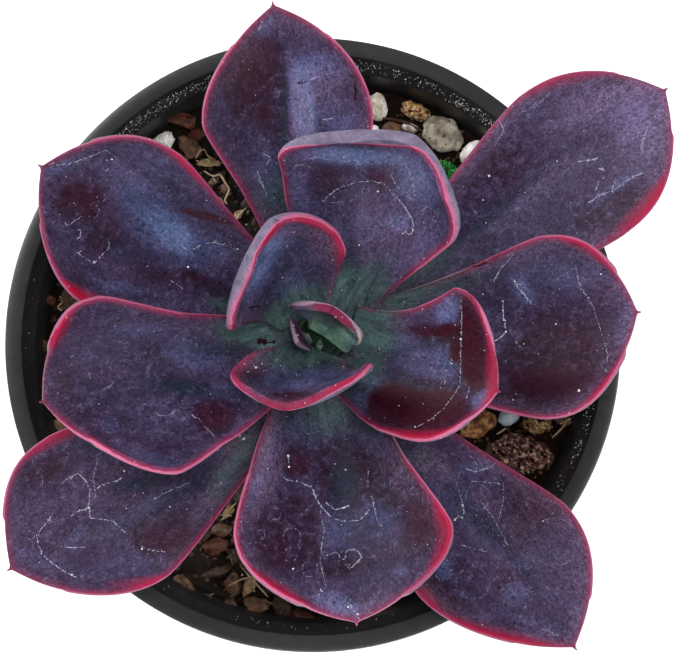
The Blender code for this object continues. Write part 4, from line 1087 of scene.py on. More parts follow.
def blade_faces(rows, lanes):
    """Which points of an upper and a lower sheet stay once their rims are welded, and their faces."""
    count, column = rows * lanes, np.arange(lanes - 1)
    root = np.stack([column, column + 1, count + column + 1, count + column], axis=1)
    sheets = [grid_faces(rows, lanes, flip=True), grid_faces(rows, lanes, start=count)]
    welded = np.arange(2 * count)
    rim = np.zeros((rows, lanes), dtype=bool)
    rim[:, 0] = rim[:, -1] = rim[-1, :] = True
    welded[count:][rim.ravel()] = np.flatnonzero(rim.ravel())
    faces = welded[np.concatenate(sheets + [root])]
    kept = np.unique(faces)
    order = np.zeros(2 * count, dtype=int)
    order[kept] = np.arange(len(kept))
    # a corner that the weld has doubled goes, and then a face with fewer than three
    faces = order[faces].tolist()
    faces = [[corner for k, corner in enumerate(face) if corner != face[k - 1]] for face in faces]
    return kept, [face for face in faces if len(face) > 2]


def from_border(sheet):
    """How far each point of a sheet lies from the sheet's two sides and its tip."""
    border = np.concatenate([sheet[:, 0], sheet[-1], sheet[:, -1]])
    chunks = np.array_split(sheet.reshape(-1, 3), 24)
    return np.concatenate([np.sqrt(((chunk[:, None] - border) ** 2).sum(2)).min(1) for chunk in chunks])


def skin_layers(name, pixels, rooted, margin):
    """What the skin reads at each point of a leaf. Its root is greener, with thinner wax."""
    marked = lambda table: patches(pixels, table.get(name, ()))
    edge_powder = EDGE_POWDER.get(name, USUAL_POWDER) * np.exp(-((margin / POWDER_REACH) ** 2))
    return {
        "wax_and_sheen": clamp(THIN_WAX + marked(WAX_AND_SHEEN) - 0.2 * rooted, 0.02, 1.3),
        "wine": clamp(marked(WINE), 0.0, 1.7),
        "sap": clamp(marked(SAP) + 0.55 * rooted),
        "blush": clamp(marked(BLUSH)),
        "painted_shade": clamp(marked(PAINTED_SHADE)),
        "glow": clamp(EDGE_GLOW.get(name, USUAL_GLOW) + marked(GLOW)),
        "powder": clamp(marked(POWDER) + edge_powder),
    }


def leaf_blade(name, index, skin, rows, lanes):
    """One leaf: the form of its solid with a rounded margin, a shallow groove over the midrib and gentle
    unevenness, and with the patches of wax and painted sheen, red, green and painted shade that its skin
    reads."""
    leaf = {**LEAF, **LEAVES[name]}
    shares = 1 - (1 - np.linspace(0, 1, rows)) ** 1.25
    across = np.sin(np.pi / 2 * np.linspace(-1, 1, lanes))
    upper, wide = blade_sheet(leaf, shares, across)
    normal = np.cross(np.gradient(upper, axis=0), np.gradient(upper, axis=1))
    normal /= np.maximum(np.linalg.norm(normal, axis=2, keepdims=True), 1e-9)
    depth = blade_depth(leaf, shares[:, None], across[None, :])
    from_side = (1 - np.abs(across))[None, :] * wide
    from_tip = ((1 - shares) * leaf["length"])[:, None]
    full = rounded(from_side, leaf["edge"] / 2) * rounded(from_tip, leaf["edge"] / 2)
    across_mm = across[None, :] * wide
    along_mm = (shares * leaf["length"])[:, None] + 0 * across_mm
    groove = GROOVE_DEPTH * np.exp(-((across_mm / GROOVE_WIDTH) ** 2))
    groove = groove * clamp(shares[:, None] * 4) * clamp(from_tip / 6)
    waves = np.sin(0.55 * across_mm + 0.31 * along_mm + index)
    waves = UNEVEN_DEPTH * waves * np.sin(0.38 * along_mm - 0.4 * across_mm + 2.3 * index)
    waves = (waves - UNEVEN_DEPTH) * clamp(from_side / 3) * clamp(from_tip / 5)
    middle = upper - normal * (depth / 2)[..., None]
    top = middle + normal * (full * depth / 2 - (groove - waves) * full)[..., None]
    low = middle - normal * (full * depth / 2)[..., None]
    kept, faces = blade_faces(rows, lanes)
    points = np.concatenate([top.reshape(-1, 3), low.reshape(-1, 3)])[kept]
    blade = piece(name + "_blade", points, faces, [skin])

    # near the root the border's end is no margin, so only the distance to the sides counts there
    margin = from_border(top)
    margin = np.where((along_mm < 1.0).ravel(), np.maximum(margin, from_side.ravel()), margin)
    pixels = to_pixels(top).reshape(-1, 2)
    hem = patches(pixels, HEM.get(name, ()))
    margin, low_margin = margin - hem, -np.minimum(from_side, from_tip).ravel() - hem
    rooted = clamp(1 - along_mm.ravel() / (ROOT_SHARE * leaf["length"]))
    for title, values in skin_layers(name, pixels, rooted, margin).items():
        attribute(blade, title, np.tile(values, 2)[kept])
    attribute(blade, "margin", np.concatenate([margin, low_margin])[kept])
    # the place on the blade that the skin's patterns are laid out by, in a part of its own for each leaf
    own_part = along_mm + PATTERN_STEP * index
    laid_out = [np.stack([across_mm, own_part, face * full * depth / 2], axis=-1) for face in (1, -1)]
    attribute(blade, "blade", np.concatenate(laid_out).reshape(-1, 3)[kept], "FLOAT_VECTOR")
    settle(blade, "heart_skin" if name.startswith("heart") else "leaf_skin", name)
    return blade


def grow_leaves(skin, young):
    """All the leaves, by name, those of the heart in young skin."""
    blades = {}
    for index, name in enumerate(LEAVES):
        rows = max(40, round(LEAVES[name]["length"] / ROW_SPACING))
        lanes = max(33, round(sum(LEAVES[name]["width"]) / LANE_SPACING))
        blades[name] = leaf_blade(name, index, young if name.startswith("heart") else skin, rows, lanes)
    return blades


def along_run(pixels, step):
    """Pixels at even steps along a smooth run through the given ones."""
    points = np.array(pixels, dtype=float)
    lengths = np.concatenate([[0], np.cumsum(np.linalg.norm(np.diff(points, axis=0), axis=1))])
    places = np.linspace(0, lengths[-1], max(3, int(lengths[-1] / step)))
    run = np.stack([np.interp(places, lengths, points[:, axis]) for axis in (0, 1)], axis=1)
    for _ in range(3):
        run[1:-1] = 0.5 * run[1:-1] + 0.25 * (run[:-2] + run[2:])
    return run


def beside(run, dice, away):
    """A run that wavers alongside another, in pixels."""
    along = np.gradient(run, axis=0)
    length = np.maximum(np.linalg.norm(along, axis=1, keepdims=True), 1e-6)
    across = np.stack([-along[:, 1], along[:, 0]], axis=1) / length
    return run + across * away * np.array([[0.6 + dice.gauss(0, 0.35)] for _ in run])


def blade_tree(blade):
    """A blade as a tree of faces that lines of sight are cast at."""
    mesh = blade.data
    return BVHTree.FromPolygons([v.co for v in mesh.vertices], [p.vertices for p in mesh.polygons])


def seen_on(tree, pixel):
    """The point of a blade that shows at a pixel, in millimetres, and its normal, or None."""
    eye, direction = sight_line(pixel)
    hit, normal, _, _ = tree.ray_cast(eye * MM, direction)
    return None if hit is None else (hit / MM, normal)


def strip_on(tree, run, width, dice, broken):
    """Points and faces of a thin flat strip along a run of pixels, laid on a blade, a share broken away."""
    wander = lambda pixel: (pixel[0] + dice.gauss(0, STRIP_WANDER), pixel[1] + dice.gauss(0, STRIP_WANDER))
    seen = [seen_on(tree, wander(pixel)) for pixel in run]
    points, faces, previous = [], [], None
    for before, here, after in zip(seen, seen[1:], seen[2:]):
        if before is None or here is None or after is None or dice.random() < broken:
            previous = None
            continue
        place, normal = here
        heading = after[0] - before[0]
        if not 1e-6 <= heading.length <= STRIP_LEAP:
            previous = None
            continue
        side = normal.cross(heading.normalized()) * (0.5 * width * dice.uniform(0.25, 1.25))
        first = len(points)
        points += [place + normal * STRIP_LIFT - side, place + normal * STRIP_LIFT + side]
        if previous is not None:
            faces.append((previous, previous + 1, first + 1, first))
        previous = first
    return points, faces


def mark_leaves(blades, scraped_or_highlight, drop_mark, cracked):
    """The scratches, with crumbs of wax along them, one painted highlight drawn as a scratch, the rings
    left by drops, and the dark slits.
    """
    dice = random.Random(7)
    for name, blade in blades.items():
        tree = blade_tree(blade)
        # each run comes with its width in millimetres and the share of it that is broken
        scratches_and_highlight, rings, slits = [], [], []
        for width, *pixels in SCRATCHES_AND_HIGHLIGHT.get(name, ()):
            run = along_run(pixels, 0.8)
            scratches_and_highlight.append((0.8 * width, run, 0.15))
            scratches_and_highlight += [(0.6 * width, beside(run, dice, away), 0.72) for away in (-1.6, 1.6)]
        for x, y, long_half, short_half in RINGS.get(name, ()):
            angles = dice.uniform(0, 6.28) + np.linspace(0, dice.uniform(4.6, 6.1), 24)
            ring = np.stack([x + long_half * np.cos(angles), y + short_half * np.sin(angles)], axis=1)
            rings.append((RING_WIDTH, along_run(ring, 1.0), 0.3))
        for width, *pixels in SLITS.get(name, ()):
            slits.append((width, along_run(pixels, 1.2), 0.0))
        marks = ("scratches_and_highlight", scratches_and_highlight, scraped_or_highlight), ("rings", rings, drop_mark), ("slits", slits, cracked)
        for title, runs, finish in marks:
            points, faces = [], []
            for width, run, broken in runs:
                new_points, new_faces = strip_on(tree, run, width, dice, broken)
                faces += [[corner + len(points) for corner in face] for face in new_faces]
                points += new_points
            if faces:
                settle(piece(name + "_" + title, points, faces, [finish]), "leaf_skin")


# Pot


def turned(name, profile, sides, finishes, middle=(0.0, 0.0)):
    """A solid of revolution; the profile's (radius, height) points keep the material to their right."""
    points, rings, faces = [], [], []
    for radius, height in profile:
        count = 1 if radius == 0 else sides
        rings.append((len(points), count))
        for side in range(count):
            angle = 2 * math.pi * side / sides
            x, y = middle[0] + radius * math.cos(angle), middle[1] + radius * math.sin(angle)
            points.append((x, y, height))
    for (first, count), (next_first, next_count) in zip(rings, rings[1:]):
        for side in range(sides):
            ahead = (side + 1) % sides
            here = [first + ahead % count, first + side % count]
            there = [next_first + side % next_count, next_first + ahead % next_count]
            faces.append((here if count > 1 else here[:1]) + (there if next_count > 1 else there[:1]))
    thing = piece(name, points, faces, finishes)
    thing.data.set_sharp_from_angle(angle=math.radians(40))
    return thing


def pot_profile():
    """The pot in section, from the middle of its floor over the lip and round to its foot."""
    lip_inner = RIM_RADIUS - LIP_WIDTH
    under_skirt, under_ledge = RIM_HEIGHT - SKIRT_DEPTH, WALL_TOP_HEIGHT + 0.4
    drain_inner, drain_outer = DRAIN_RING - DRAIN_RADIUS - 1, DRAIN_RING + DRAIN_RADIUS + 1
    floor_under, ledge_top = FLOOR_TOP - FLOOR, RIM_HEIGHT - LEDGE_DEPTH
    inside = (
        (0, FLOOR_TOP), (drain_inner, FLOOR_TOP), (drain_outer, FLOOR_TOP), (BASE_RADIUS - 2.1, FLOOR_TOP),
        (BASE_RADIUS - 1.1, FLOOR_TOP + 1.2), (WALL_TOP_RADIUS, WALL_TOP_HEIGHT),
    )
    lip = (
        (WALL_TOP_RADIUS + 0.25, ledge_top - 0.3), (LEDGE_RADIUS, ledge_top),
        (lip_inner, RIM_HEIGHT - 0.45), (lip_inner + 0.15, RIM_HEIGHT - 0.12),
        (lip_inner + 0.45, RIM_HEIGHT), (RIM_RADIUS - 0.45, RIM_HEIGHT),
        (RIM_RADIUS - 0.12, RIM_HEIGHT - 0.15), (RIM_RADIUS, RIM_HEIGHT - 0.5),
        (RIM_RADIUS - 0.5, under_skirt + 0.3), (RIM_RADIUS - 0.8, under_skirt),
        (RIM_RADIUS - 1.5, under_skirt), (RIM_RADIUS - 1.3, under_ledge),
    )
    outside = (
        (WALL_TOP_RADIUS + WALL, under_ledge), (BASE_RADIUS, 1.0), (BASE_RADIUS - 0.3, 0.3),
        (BASE_RADIUS - 0.8, 0), (BASE_RADIUS - 3.4, 0), (BASE_RADIUS - 3.8, floor_under),
        (drain_outer, floor_under), (drain_inner, floor_under), (PAD_RADIUS + 0.5, floor_under),
        (PAD_RADIUS, 0), (0, 0),
    )
    return inside + lip + outside


def mould_pot(plastic):
    """The pot in one moulding, with its drain holes drilled."""
    pot = turned("pot_moulding", pot_profile(), 192, [plastic])
    drill_profile = ((0, 5), (DRAIN_RADIUS, 5), (DRAIN_RADIUS, 0.5), (0, 0.5))
    group = bpy.data.collections.new("drills")
    for hole in range(DRAIN_HOLES):
        angle = 2 * math.pi * (hole + 0.5) / DRAIN_HOLES
        middle = (DRAIN_RING * math.cos(angle), DRAIN_RING * math.sin(angle))
        group.objects.link(turned("drill", drill_profile, 32, [], middle))
    boolean = pot.modifiers.new("drains", "BOOLEAN")
    boolean.operand_type, boolean.collection, boolean.solver = "COLLECTION", group, "EXACT"
    bpy.context.view_layer.update()
    drilled = pot.evaluated_get(bpy.context.evaluated_depsgraph_get())
    pot.data = bpy.data.meshes.new_from_object(drilled)
    pot.modifiers.clear()
    for drill in list(group.objects):
        bpy.data.objects.remove(drill)
    bpy.data.collections.remove(group)
    settle(pot, "pot_plastic", "pot")


def grow_stem(skin):
    """The short stem that carries the leaves."""
    profile = [(0, STEM_TOP)] + list(reversed(STEM_PROFILE)) + [(0, STEM_PROFILE[0][1])]
    settle(turned("stem_stalk", profile, 40, [skin], (STEM_X, STEM_Y)), "stem_skin", "stem")


# Potting mix


def wall_radius(height):
    """The radius of the pot's inner wall at a height."""
    foot_radius, foot_height = BASE_RADIUS - 1.1, FLOOR_TOP + 1.2
    share = (height - foot_height) / (WALL_TOP_HEIGHT - foot_height)
    return foot_radius + (WALL_TOP_RADIUS - foot_radius) * share


def mix_top(x, y):
    """The height of the mix, which sinks towards the stem and rolls gently."""
    share = math.hypot(x, y) / wall_radius(SOIL_EDGE_HEIGHT)
    height = SOIL_MIDDLE_HEIGHT + (SOIL_EDGE_HEIGHT - SOIL_MIDDLE_HEIGHT) * share**2
    return height + 0.35 * math.sin(0.31 * x + 1.0) * math.cos(0.27 * y - 0.5)


def on_mix(pixel, above=0.0):
    """The point of the mix, or of a level above it, that shows at a pixel."""
    eye, direction = sight_line(pixel)
    height = SOIL_EDGE_HEIGHT
    for _ in range(4):
        place = eye + direction * ((height - eye.z) / direction.z)
        height = mix_top(place.x, place.y) + above
    return place


def anywhere(dice, reach):
    """A random point within that reach of the pot's axis."""
    radius, angle = reach * math.sqrt(dice.random()), dice.uniform(0, 2 * math.pi)
    return radius * math.cos(angle), radius * math.sin(angle)


def lay_bed(peat):
    """The dark bed of fine peat that the chips and stones lie in, down to the pot's floor."""
    rings, sides = 84, 240
    edge = wall_radius(SOIL_EDGE_HEIGHT) - 0.3
    angles = [2 * math.pi * side / sides for side in range(sides)]
    points = []
    for ring in range(1, rings + 1):
        radius = edge * ring / rings
        fade = min(1.0, (edge - radius) / 1.5)
        for angle in angles:
            x, y = radius * math.cos(angle), radius * math.sin(angle)
            lump = noise.fractal(Vector((x, y, 3.0)) * 0.45, 0.9, 2.0, 4)
            points.append((x, y, mix_top(x, y) - 0.55 + 0.8 * lump * fade))
    # the sides of the bed, down to a rounded foot
    for height, inset in ((SOIL_EDGE_HEIGHT - 2, 0.35), (FLOOR_TOP + 1.5, 0.3), (FLOOR_TOP + 0.3, 1.3)):
        radius = wall_radius(height) - inset
        points += [(radius * math.cos(angle), radius * math.sin(angle), height) for angle in angles]
    rows = rings + 3
    faces = [face[::-1] for face in strip_faces(rows, sides)]
    faces += [list(range(sides)), list(range((rows - 1) * sides, rows * sides))[::-1]]
    settle(piece("mix_bed", points, faces, [peat]), "bark_mix", "soil")


def lump_mesh(halves, dice, detail, rough):
    """A broken lump: the hull of random points, rounded by subdivision and roughened, as points, faces."""
    lump = bmesh.new()
    for _ in range(13):
        spot = Vector([dice.gauss(0, 1) for _ in range(3)]).normalized()
        lump.verts.new([spot[axis] * halves[axis] * dice.uniform(0.85, 1.1) for axis in range(3)])
    hull = bmesh.ops.convex_hull(lump, input=lump.verts)
    inside = [part for part in hull["geom_interior"] if isinstance(part, bmesh.types.BMVert)]
    bmesh.ops.delete(lump, geom=inside, context="VERTS")
    bmesh.ops.subdivide_edges(lump, edges=lump.edges[:], cuts=detail, use_grid_fill=True, smooth=0.35)
    offset = Vector([dice.uniform(-50, 50) for _ in range(3)])
    for vertex in lump.verts:
        wave = noise.fractal(vertex.co * (2.6 / max(halves)) + offset, 0.8, 2.0, 3)
        vertex.co *= 1 + rough * wave
    bmesh.ops.triangulate(lump, faces=lump.faces[:])
    return points_and_faces(lump)


class Heap:
    """Many small lumps or strips gathered into one piece, each with its own finish."""

    def __init__(self):
        self.points, self.faces, self.which = [], [], []

    def put(self, points, faces, place, tone):
        """Adds one, moved into place, in the finish of that number."""
        first = len(self.points)
        self.points += [place @ point for point in points]
        self.faces += [[corner + first for corner in face] for face in faces]
        self.which += [tone] * len(faces)

    def lay(self, name, finishes, slot, *nodes):
        """Makes the piece."""
        thing = piece(name, self.points, self.faces, finishes, which=self.which)
        thing.data.set_sharp_from_angle(angle=math.radians(45))
        settle(thing, slot, *nodes)


def near_stone(x, y, reach):
    """Whether a point of the mix is within that reach of a stone."""
    return any(
        math.hypot(x - middle_x, y - middle_y) < max(long_half, wide_half) + reach
        for middle_x, middle_y, long_half, wide_half, *_ in STONES.values()
    )


def scatter_bark(barks):
    """Chips of composted bark: those that show between the leaves, and more at random."""
    dice = random.Random(41)
    heap = Heap()
    tones = {"dark": 0, "brown": 1, "red": 2, "tan": 3}
    kept = []
    for x, y, long_half, short_half, high_half, turn, tone in CHIPS:
        place = on_mix((x, y), 0.3 * high_half)
        kept.append((place.x, place.y, long_half))
        points, faces = lump_mesh((long_half, short_half, high_half), dice, 3, 0.30)
        spin = Matrix.Rotation(math.radians(-turn), 4, "Z")
        spin = spin @ Matrix.Rotation(dice.uniform(-0.2, 0.2), 4, "Y")
        heap.put(points, faces, Matrix.Translation(place) @ spin, tones[tone])
    tries = 0
    while len(kept) < CHIP_COUNT and tries < CHIP_TRIES:
        tries += 1
        x, y = anywhere(dice, CHIP_REACH)
        long_half = dice.uniform(0.8, 2.6)
        if near_stone(x, y, 0.5 * long_half) or math.hypot(x - STEM_X, y - STEM_Y) < STEM_CLEAR:
            continue
        if any(math.hypot(x - a, y - b) < 0.5 * (long_half + c) for a, b, c in kept):
            continue
        kept.append((x, y, long_half))
        halves = (long_half, long_half * dice.uniform(0.4, 0.75), long_half * dice.uniform(0.25, 0.45))
        points, faces = lump_mesh(halves, dice, 2, 0.18)
        spin = Matrix.Rotation(dice.uniform(0, 6.28), 4, "Z")
        spin = spin @ Matrix.Rotation(dice.uniform(-0.5, 0.5), 4, "X")
        tone = dice.choices((0, 1, 2, 3), (11, 6, 2, 0.7))[0]
        place = Matrix.Translation((x, y, mix_top(x, y) - SUNK_IN_PEAT))
        heap.put(points, faces, place @ spin, tone)
    heap.lay("bark_chips", barks, "bark_mix")


def scatter_crumbs(finishes):
    """Crumbs of peat and bark, with a few straw-coloured bits and grains of perlite."""
    dice = random.Random(5)
    shape, faces = ball(1)
    heap = Heap()
    for _ in range(CRUMB_COUNT):
        x, y = anywhere(dice, CRUMB_REACH)
        tone = dice.choices((0, 1, 2, 3), (70, 24, 4, 0.8))[0]
        size = dice.uniform(0.14, 0.6) if tone < 2 else dice.uniform(0.1, 0.26)
        points = [point * size * dice.uniform(0.6, 1.25) for point in shape]
        squash = Matrix.Diagonal((1, dice.uniform(0.4, 1), dice.uniform(0.4, 0.9), 1))
        place = Matrix.Translation((x, y, mix_top(x, y) - SUNK_IN_PEAT))
        place = place @ Matrix.Rotation(dice.uniform(0, 6.28), 4, "Z")
        heap.put(points, faces, place @ squash, tone)
    heap.lay("peat_crumbs", finishes, "bark_mix")


def thread(points, radius, sides=6):
    """Points and faces of a tapering round thread along a run of points."""
    rings = []
    last = len(points) - 1
    for index, place in enumerate(points):
        ahead = (points[min(index + 1, last)] - points[max(index - 1, 0)]).normalized()
        side = ahead.cross(Vector((0.1, 0.2, 1))).normalized()
        up = side.cross(ahead)
        thin = radius * (0.35 + 0.65 * math.sin(math.pi * (0.1 + 0.8 * index / last)))
        for corner in range(sides):
            angle = 2 * math.pi * corner / sides
            rings.append(place + (side * math.cos(angle) + up * math.sin(angle)) * thin)
    ends = [list(range(sides))[::-1], list(range(last * sides, (last + 1) * sides))]
    return rings, strip_faces(len(points), sides) + ends


def smooth_run(points, steps):
    """Points along a smooth curve through the given ones."""
    ends = [points[0] * 2 - points[1]] + list(points) + [points[-1] * 2 - points[-2]]
    run = []
    for a, b, c, d in zip(ends, ends[1:], ends[2:], ends[3:]):
        for step in range(steps):
            t = step / steps
            square, cube = 2 * a - 5 * b + 4 * c - d, 3 * b - a - 3 * c + d
            run.append(0.5 * (2 * b + (c - a) * t + square * t**2 + cube * t**3))
    run.append(points[-1])
    return run


def lay_fibres(finishes):
    """Straw, pale roots and dark rootlets, those that show first and then more at random."""
    dice = random.Random(17)
    tones = {"straw": 0, "root": 1, "dark": 2}
    heap = Heap()
    for tone, radius, above, *pixels in FIBRES:
        run = [on_mix(pixel, above + dice.uniform(-0.15, 0.15)) for pixel in pixels]
        points, faces = thread(smooth_run(run, 6), radius)
        heap.put(points, faces, Matrix(), tones[tone])
    for _ in range(FIBRE_TRIES):
        x, y = anywhere(dice, FIBRE_REACH)
        if near_stone(x, y, 1.0):
            continue
        heading, run = dice.uniform(0, 6.28), []
        for _ in range(dice.randint(3, 6)):
            run.append(Vector((x, y, mix_top(x, y) + dice.uniform(-0.1, 0.5))))
            heading += dice.uniform(-0.7, 0.7)
            x, y = x + FIBRE_STEP * math.cos(heading), y + FIBRE_STEP * math.sin(heading)
        if math.hypot(x, y) < FIBRE_END:
            points, faces = thread(smooth_run(run, 4), dice.uniform(0.05, 0.13), 5)
            heap.put(points, faces, Matrix(), dice.choices((0, 1, 2), (3, 1, 7))[0])
    heap.lay("mix_fibres", finishes, "bark_mix")


# Stones


def stone_place(name):
    """The middle of a stone, sunk a little into the mix."""
    x, y, _, _, high_half, *_ = STONES[name]
    return Vector((x, y, mix_top(x, y) + STONE_SUNK * high_half))


def shape_stone(name, finish, fineness=4, lumps=0.10, grit=0.02, cells=0.0, pores=0):
    """A stone: a stretched ball with the corners of its seed, broad lumps, grit, broken cells and pores."""
    _, _, *half_sizes, turn, seed = STONES[name]
    dice, halves = random.Random(seed), Vector(half_sizes)
    offset = Vector([dice.uniform(-40, 40) for _ in range(3)])
    holes = []
    for _ in range(pores):
        spot = Vector([dice.gauss(0, 1) for _ in range(3)]).normalized()
        holes.append((spot, dice.uniform(0.06, 0.2)))
    spin = Matrix.Rotation(math.radians(turn), 3, "Z")
    middle = stone_place(name)
    ways, faces = ball(fineness)
    points = []
    for way in ways:
        size = 1 + lumps * noise.noise(way * 1.6 + offset) + 0.5 * lumps * noise.noise(way * 3.7 - offset)
        size += grit * noise.fractal(way * 9 + offset, 0.8, 2.0, 3)
        if cells:
            near, _ = noise.voronoi(way * 3.2 + offset)
            size += cells * (near[1] - near[0] - 0.3)
        for spot, wide in holes:
            away = (way - spot).length / wide
            if away < 1:
                # a pore over 0.1 of the stone's size is deeper
                size -= 0.85 * wide * (1 - away**3) * (1.0 if wide > 0.1 else 0.6)
        point = Vector([way[axis] * halves[axis] for axis in range(3)]) * min(size, 1.08)
        points.append(spin @ point + middle)
    settle(piece(name + "_stone", points, faces, [finish]), STONE_SLOTS[name], name)


def set_stones():
    """Every stone on the mix, each with the finish of its kind."""
    # Pumice, froth that set and was broken up: chalky white, with brown soil caught in its hollows
    pumice = mineral("pumice_broken", ("8f8b84", "d8d5ce", "f2f0ec"), 1.1, 0.9, ("3a1f16", 0.045), ior=1.5)
    # Limestone, split: cream to warm grey, with ochre stains
    cream = ("8a7c66", "c9bfae", "efece6")
    limestone = mineral("limestone_split", cream, 2.0, 0.8, ("a8742f", 0.10), ior=1.6)
    # Chalk, broken: nearly white and quite matt
    chalk = mineral("chalk_broken", ("c9c4bc", "eceae6", "fbfaf8"), 1.4, 0.85, ior=1.6)
    # Sandstone, broken along its grains: golden crumbs with dark gaps between them
    gold = ("4a2c16", "a97c4c", "f8deb4")
    sandstone = mineral("sandstone_broken", gold, 0.6, 0.7, None, ("3c200e", 1.1), 0.3)
    # Quartz, rolled by water and dusty: clouded grey-brown with a soft shine
    quartz = mineral("quartz_rolled", ("5a4e47", "8c8078", "e6dfda"), 1.4, 0.5, ior=1.54)
    # Greywacke, rolled: broad beige-grey clouds and a few dark brown blots
    greywacke = mineral("greywacke_rolled", ("5a5344", "9c9282", "c4baaa"), 2.2, 0.75, ("3b2a1e", 0.10))
    # Marble, rolled: bright white and smooth, with rusty specks
    marble = mineral("marble_rolled", ("cfc6bb", "eeeae4", "ffffff"), 2.5, 0.5, ("7a3a1c", 0.06), ior=1.6)
    # Moonstone, rolled: bluish white with a silky shine
    moonstone = mineral("moonstone_rolled", ("b4c8d6", "d4e4ec", "f4fafc"), 2.0, 0.3, ior=1.52)
    # Ironstone, rusted: deep brown to orange, in flakes
    ironstone = mineral("ironstone_rusted", ("361a10", "7c4a2a", "dca868"), 1.25, 0.7, relief_mm=0.25)
    # Scoria, lava that cooled full of bubbles: dull red-brown, pitted with black holes 1 mm apart
    scoria = mineral("scoria_bubbled", ("1a0d0b", "583832", "d2ae9c"), 0.7, 0.9, None, ("0e0605", 0.9), 0.4)
    # Slate, weathered: flat pale grey with brown stains
    slate = mineral("slate_weathered", ("77736a", "a7a499", "cfcdc4"), 2.2, 0.8, ("7d5134", 0.12))
    shape_stone("pumice_chip", pumice, lumps=0.2, grit=0.03, pores=24)
    shape_stone("beige_pebble", limestone, lumps=0.3, grit=0.03)
    shape_stone("white_chip", chalk, lumps=0.25)
    shape_stone("tan_chip", sandstone, fineness=5, lumps=0.3, grit=0.07, cells=0.35)
    shape_stone("grit_pebble", quartz, lumps=0.1)
    shape_stone("grey_pebble", greywacke, lumps=0.25, grit=0.02)
    shape_stone("white_pebble", marble, lumps=0.15, grit=0.02)
    shape_stone("pale_pebble", moonstone, lumps=0.12, grit=0.005)
    shape_stone("rust_chip", ironstone, lumps=0.3, grit=0.04)
    shape_stone("golden_chip", sandstone, fineness=5, lumps=0.3, grit=0.08, cells=0.4)
    shape_stone("lava_rock", scoria, fineness=6, lumps=0.2, grit=0.05, cells=0.12, pores=150)
    shape_stone("slate_pebble", slate, lumps=0.2, grit=0.03)
    shape_stone("sand_pebble", limestone, lumps=0.15, grit=0.03)


def grow_moss(greens):
    """Moss, as some five hundred narrow leaflets that stand out from a low tuft."""
    _, _, *half_sizes, turn, seed = STONES["moss_tuft"]
    dice, halves = random.Random(seed), Vector(half_sizes)
    middle = stone_place("moss_tuft")
    spin = Matrix.Rotation(math.radians(turn), 3, "Z")
    heap = Heap()
    for _ in range(MOSS_LEAFLETS):
        way = Vector((dice.gauss(0, 1), dice.gauss(0, 1), abs(dice.gauss(0, 1)))).normalized()
        foot = Vector([way[axis] * halves[axis] * dice.uniform(0.35, 0.8) for axis in range(3)])
        lean = (way + Vector([dice.uniform(-0.8, 0.8) for _ in range(3)])).normalized()
        side = lean.cross(Vector((0.3, 0.1, 1))).normalized() * dice.uniform(0.05, 0.11)
        rise = side.cross(lean).normalized() * 0.06
        length = dice.uniform(0.35, 0.75)
        belly = foot + lean * length * 0.55
        corners = [foot - side, foot + side, belly + side * 1.2 + rise, belly - side * 1.2 + rise]
        points = []
        for corner in corners + [foot + lean * length]:
            held = [max(min(corner[axis], halves[axis]), -halves[axis]) for axis in range(3)]
            points.append(spin @ Vector(held) + middle)
        heap.put(points, [(0, 1, 2, 3), (3, 2, 4)], Matrix(), dice.choices((0, 1, 2), (4, 4, 2))[0])
    heap.lay("moss_leaflets", greens, "moss", "moss_tuft")


# Dust


def dust_pot(grit):
    """Pale mineral dust on the band between the lip and the ledge, thickest at the upper left and right."""
    dice = random.Random(11)
    shape, faces = ball(1)
    heap = Heap()
    for first, last, count in POT_DUST:
        for _ in range(count):
            angle = math.radians(dice.uniform(first, last))
            down = dice.betavariate(1.3, 1.6)
            radius, height = BAND_RADIUS - BAND_WIDTH * down, BAND_HEIGHT - BAND_DEPTH * down
            size = dice.uniform(0.03, 0.08) * (1.6 if dice.random() < 0.12 else 1)
            place = Matrix.Translation((radius * math.cos(angle), radius * math.sin(angle), height))
            heap.put([point * size * dice.uniform(0.6, 1.2) for point in shape], faces, place, 0)
    heap.lay("pot_dust", [grit], "pot_plastic")


def dust_leaves(blades, grit):
    """Specks of dust on the upper faces of the leaves: the larger ones that show, and fine ones."""
    dice = random.Random(23)
    shape, faces = ball(1)
    for name, blade in blades.items():
        tree = blade_tree(blade)
        heap = Heap()
        (left, top), (right, bottom) = shown_box(blade)
        spots = list(LEAF_DUST.get(name, ()))
        for _ in range(round(SPECKS_PER_MM * LEAVES[name]["length"])):
            spots.append((dice.uniform(left, right), dice.uniform(top, bottom), dice.uniform(0.035, 0.075)))
        for x, y, size in spots:
            seen = seen_on(tree, (x, y))
            if seen and seen[1].z > 0.3:
                place = Matrix.Translation(seen[0] + seen[1] * size * 0.4)
                heap.put([point * size * dice.uniform(0.6, 1.25) for point in shape], faces, place, 0)
        heap.lay(name + "_dust", [grit], "leaf_skin")


def shown_box(blade):
    """The lowest and highest pixels at which a blade shows."""
    flat = np.zeros(len(blade.data.vertices) * 3)
    blade.data.vertices.foreach_get("co", flat)
    pixels = to_pixels(flat.reshape(-1, 3) / MM)
    return pixels.min(axis=0), pixels.max(axis=0)


# Studio


def area_light(name, place, size, power):
    """A round lamp that aims at the plant."""
    light = bpy.data.lights.new(name, "AREA")
    light.shape, light.size, light.energy = "DISK", size, power
    lamp = bpy.data.objects.new(name, light)
    bpy.context.scene.collection.objects.link(lamp)
    lamp.location = place
    lamp.rotation_euler = (Vector(LAMP_AIM) - Vector(place)).to_track_quat("-Z", "Y").to_euler()
    return lamp


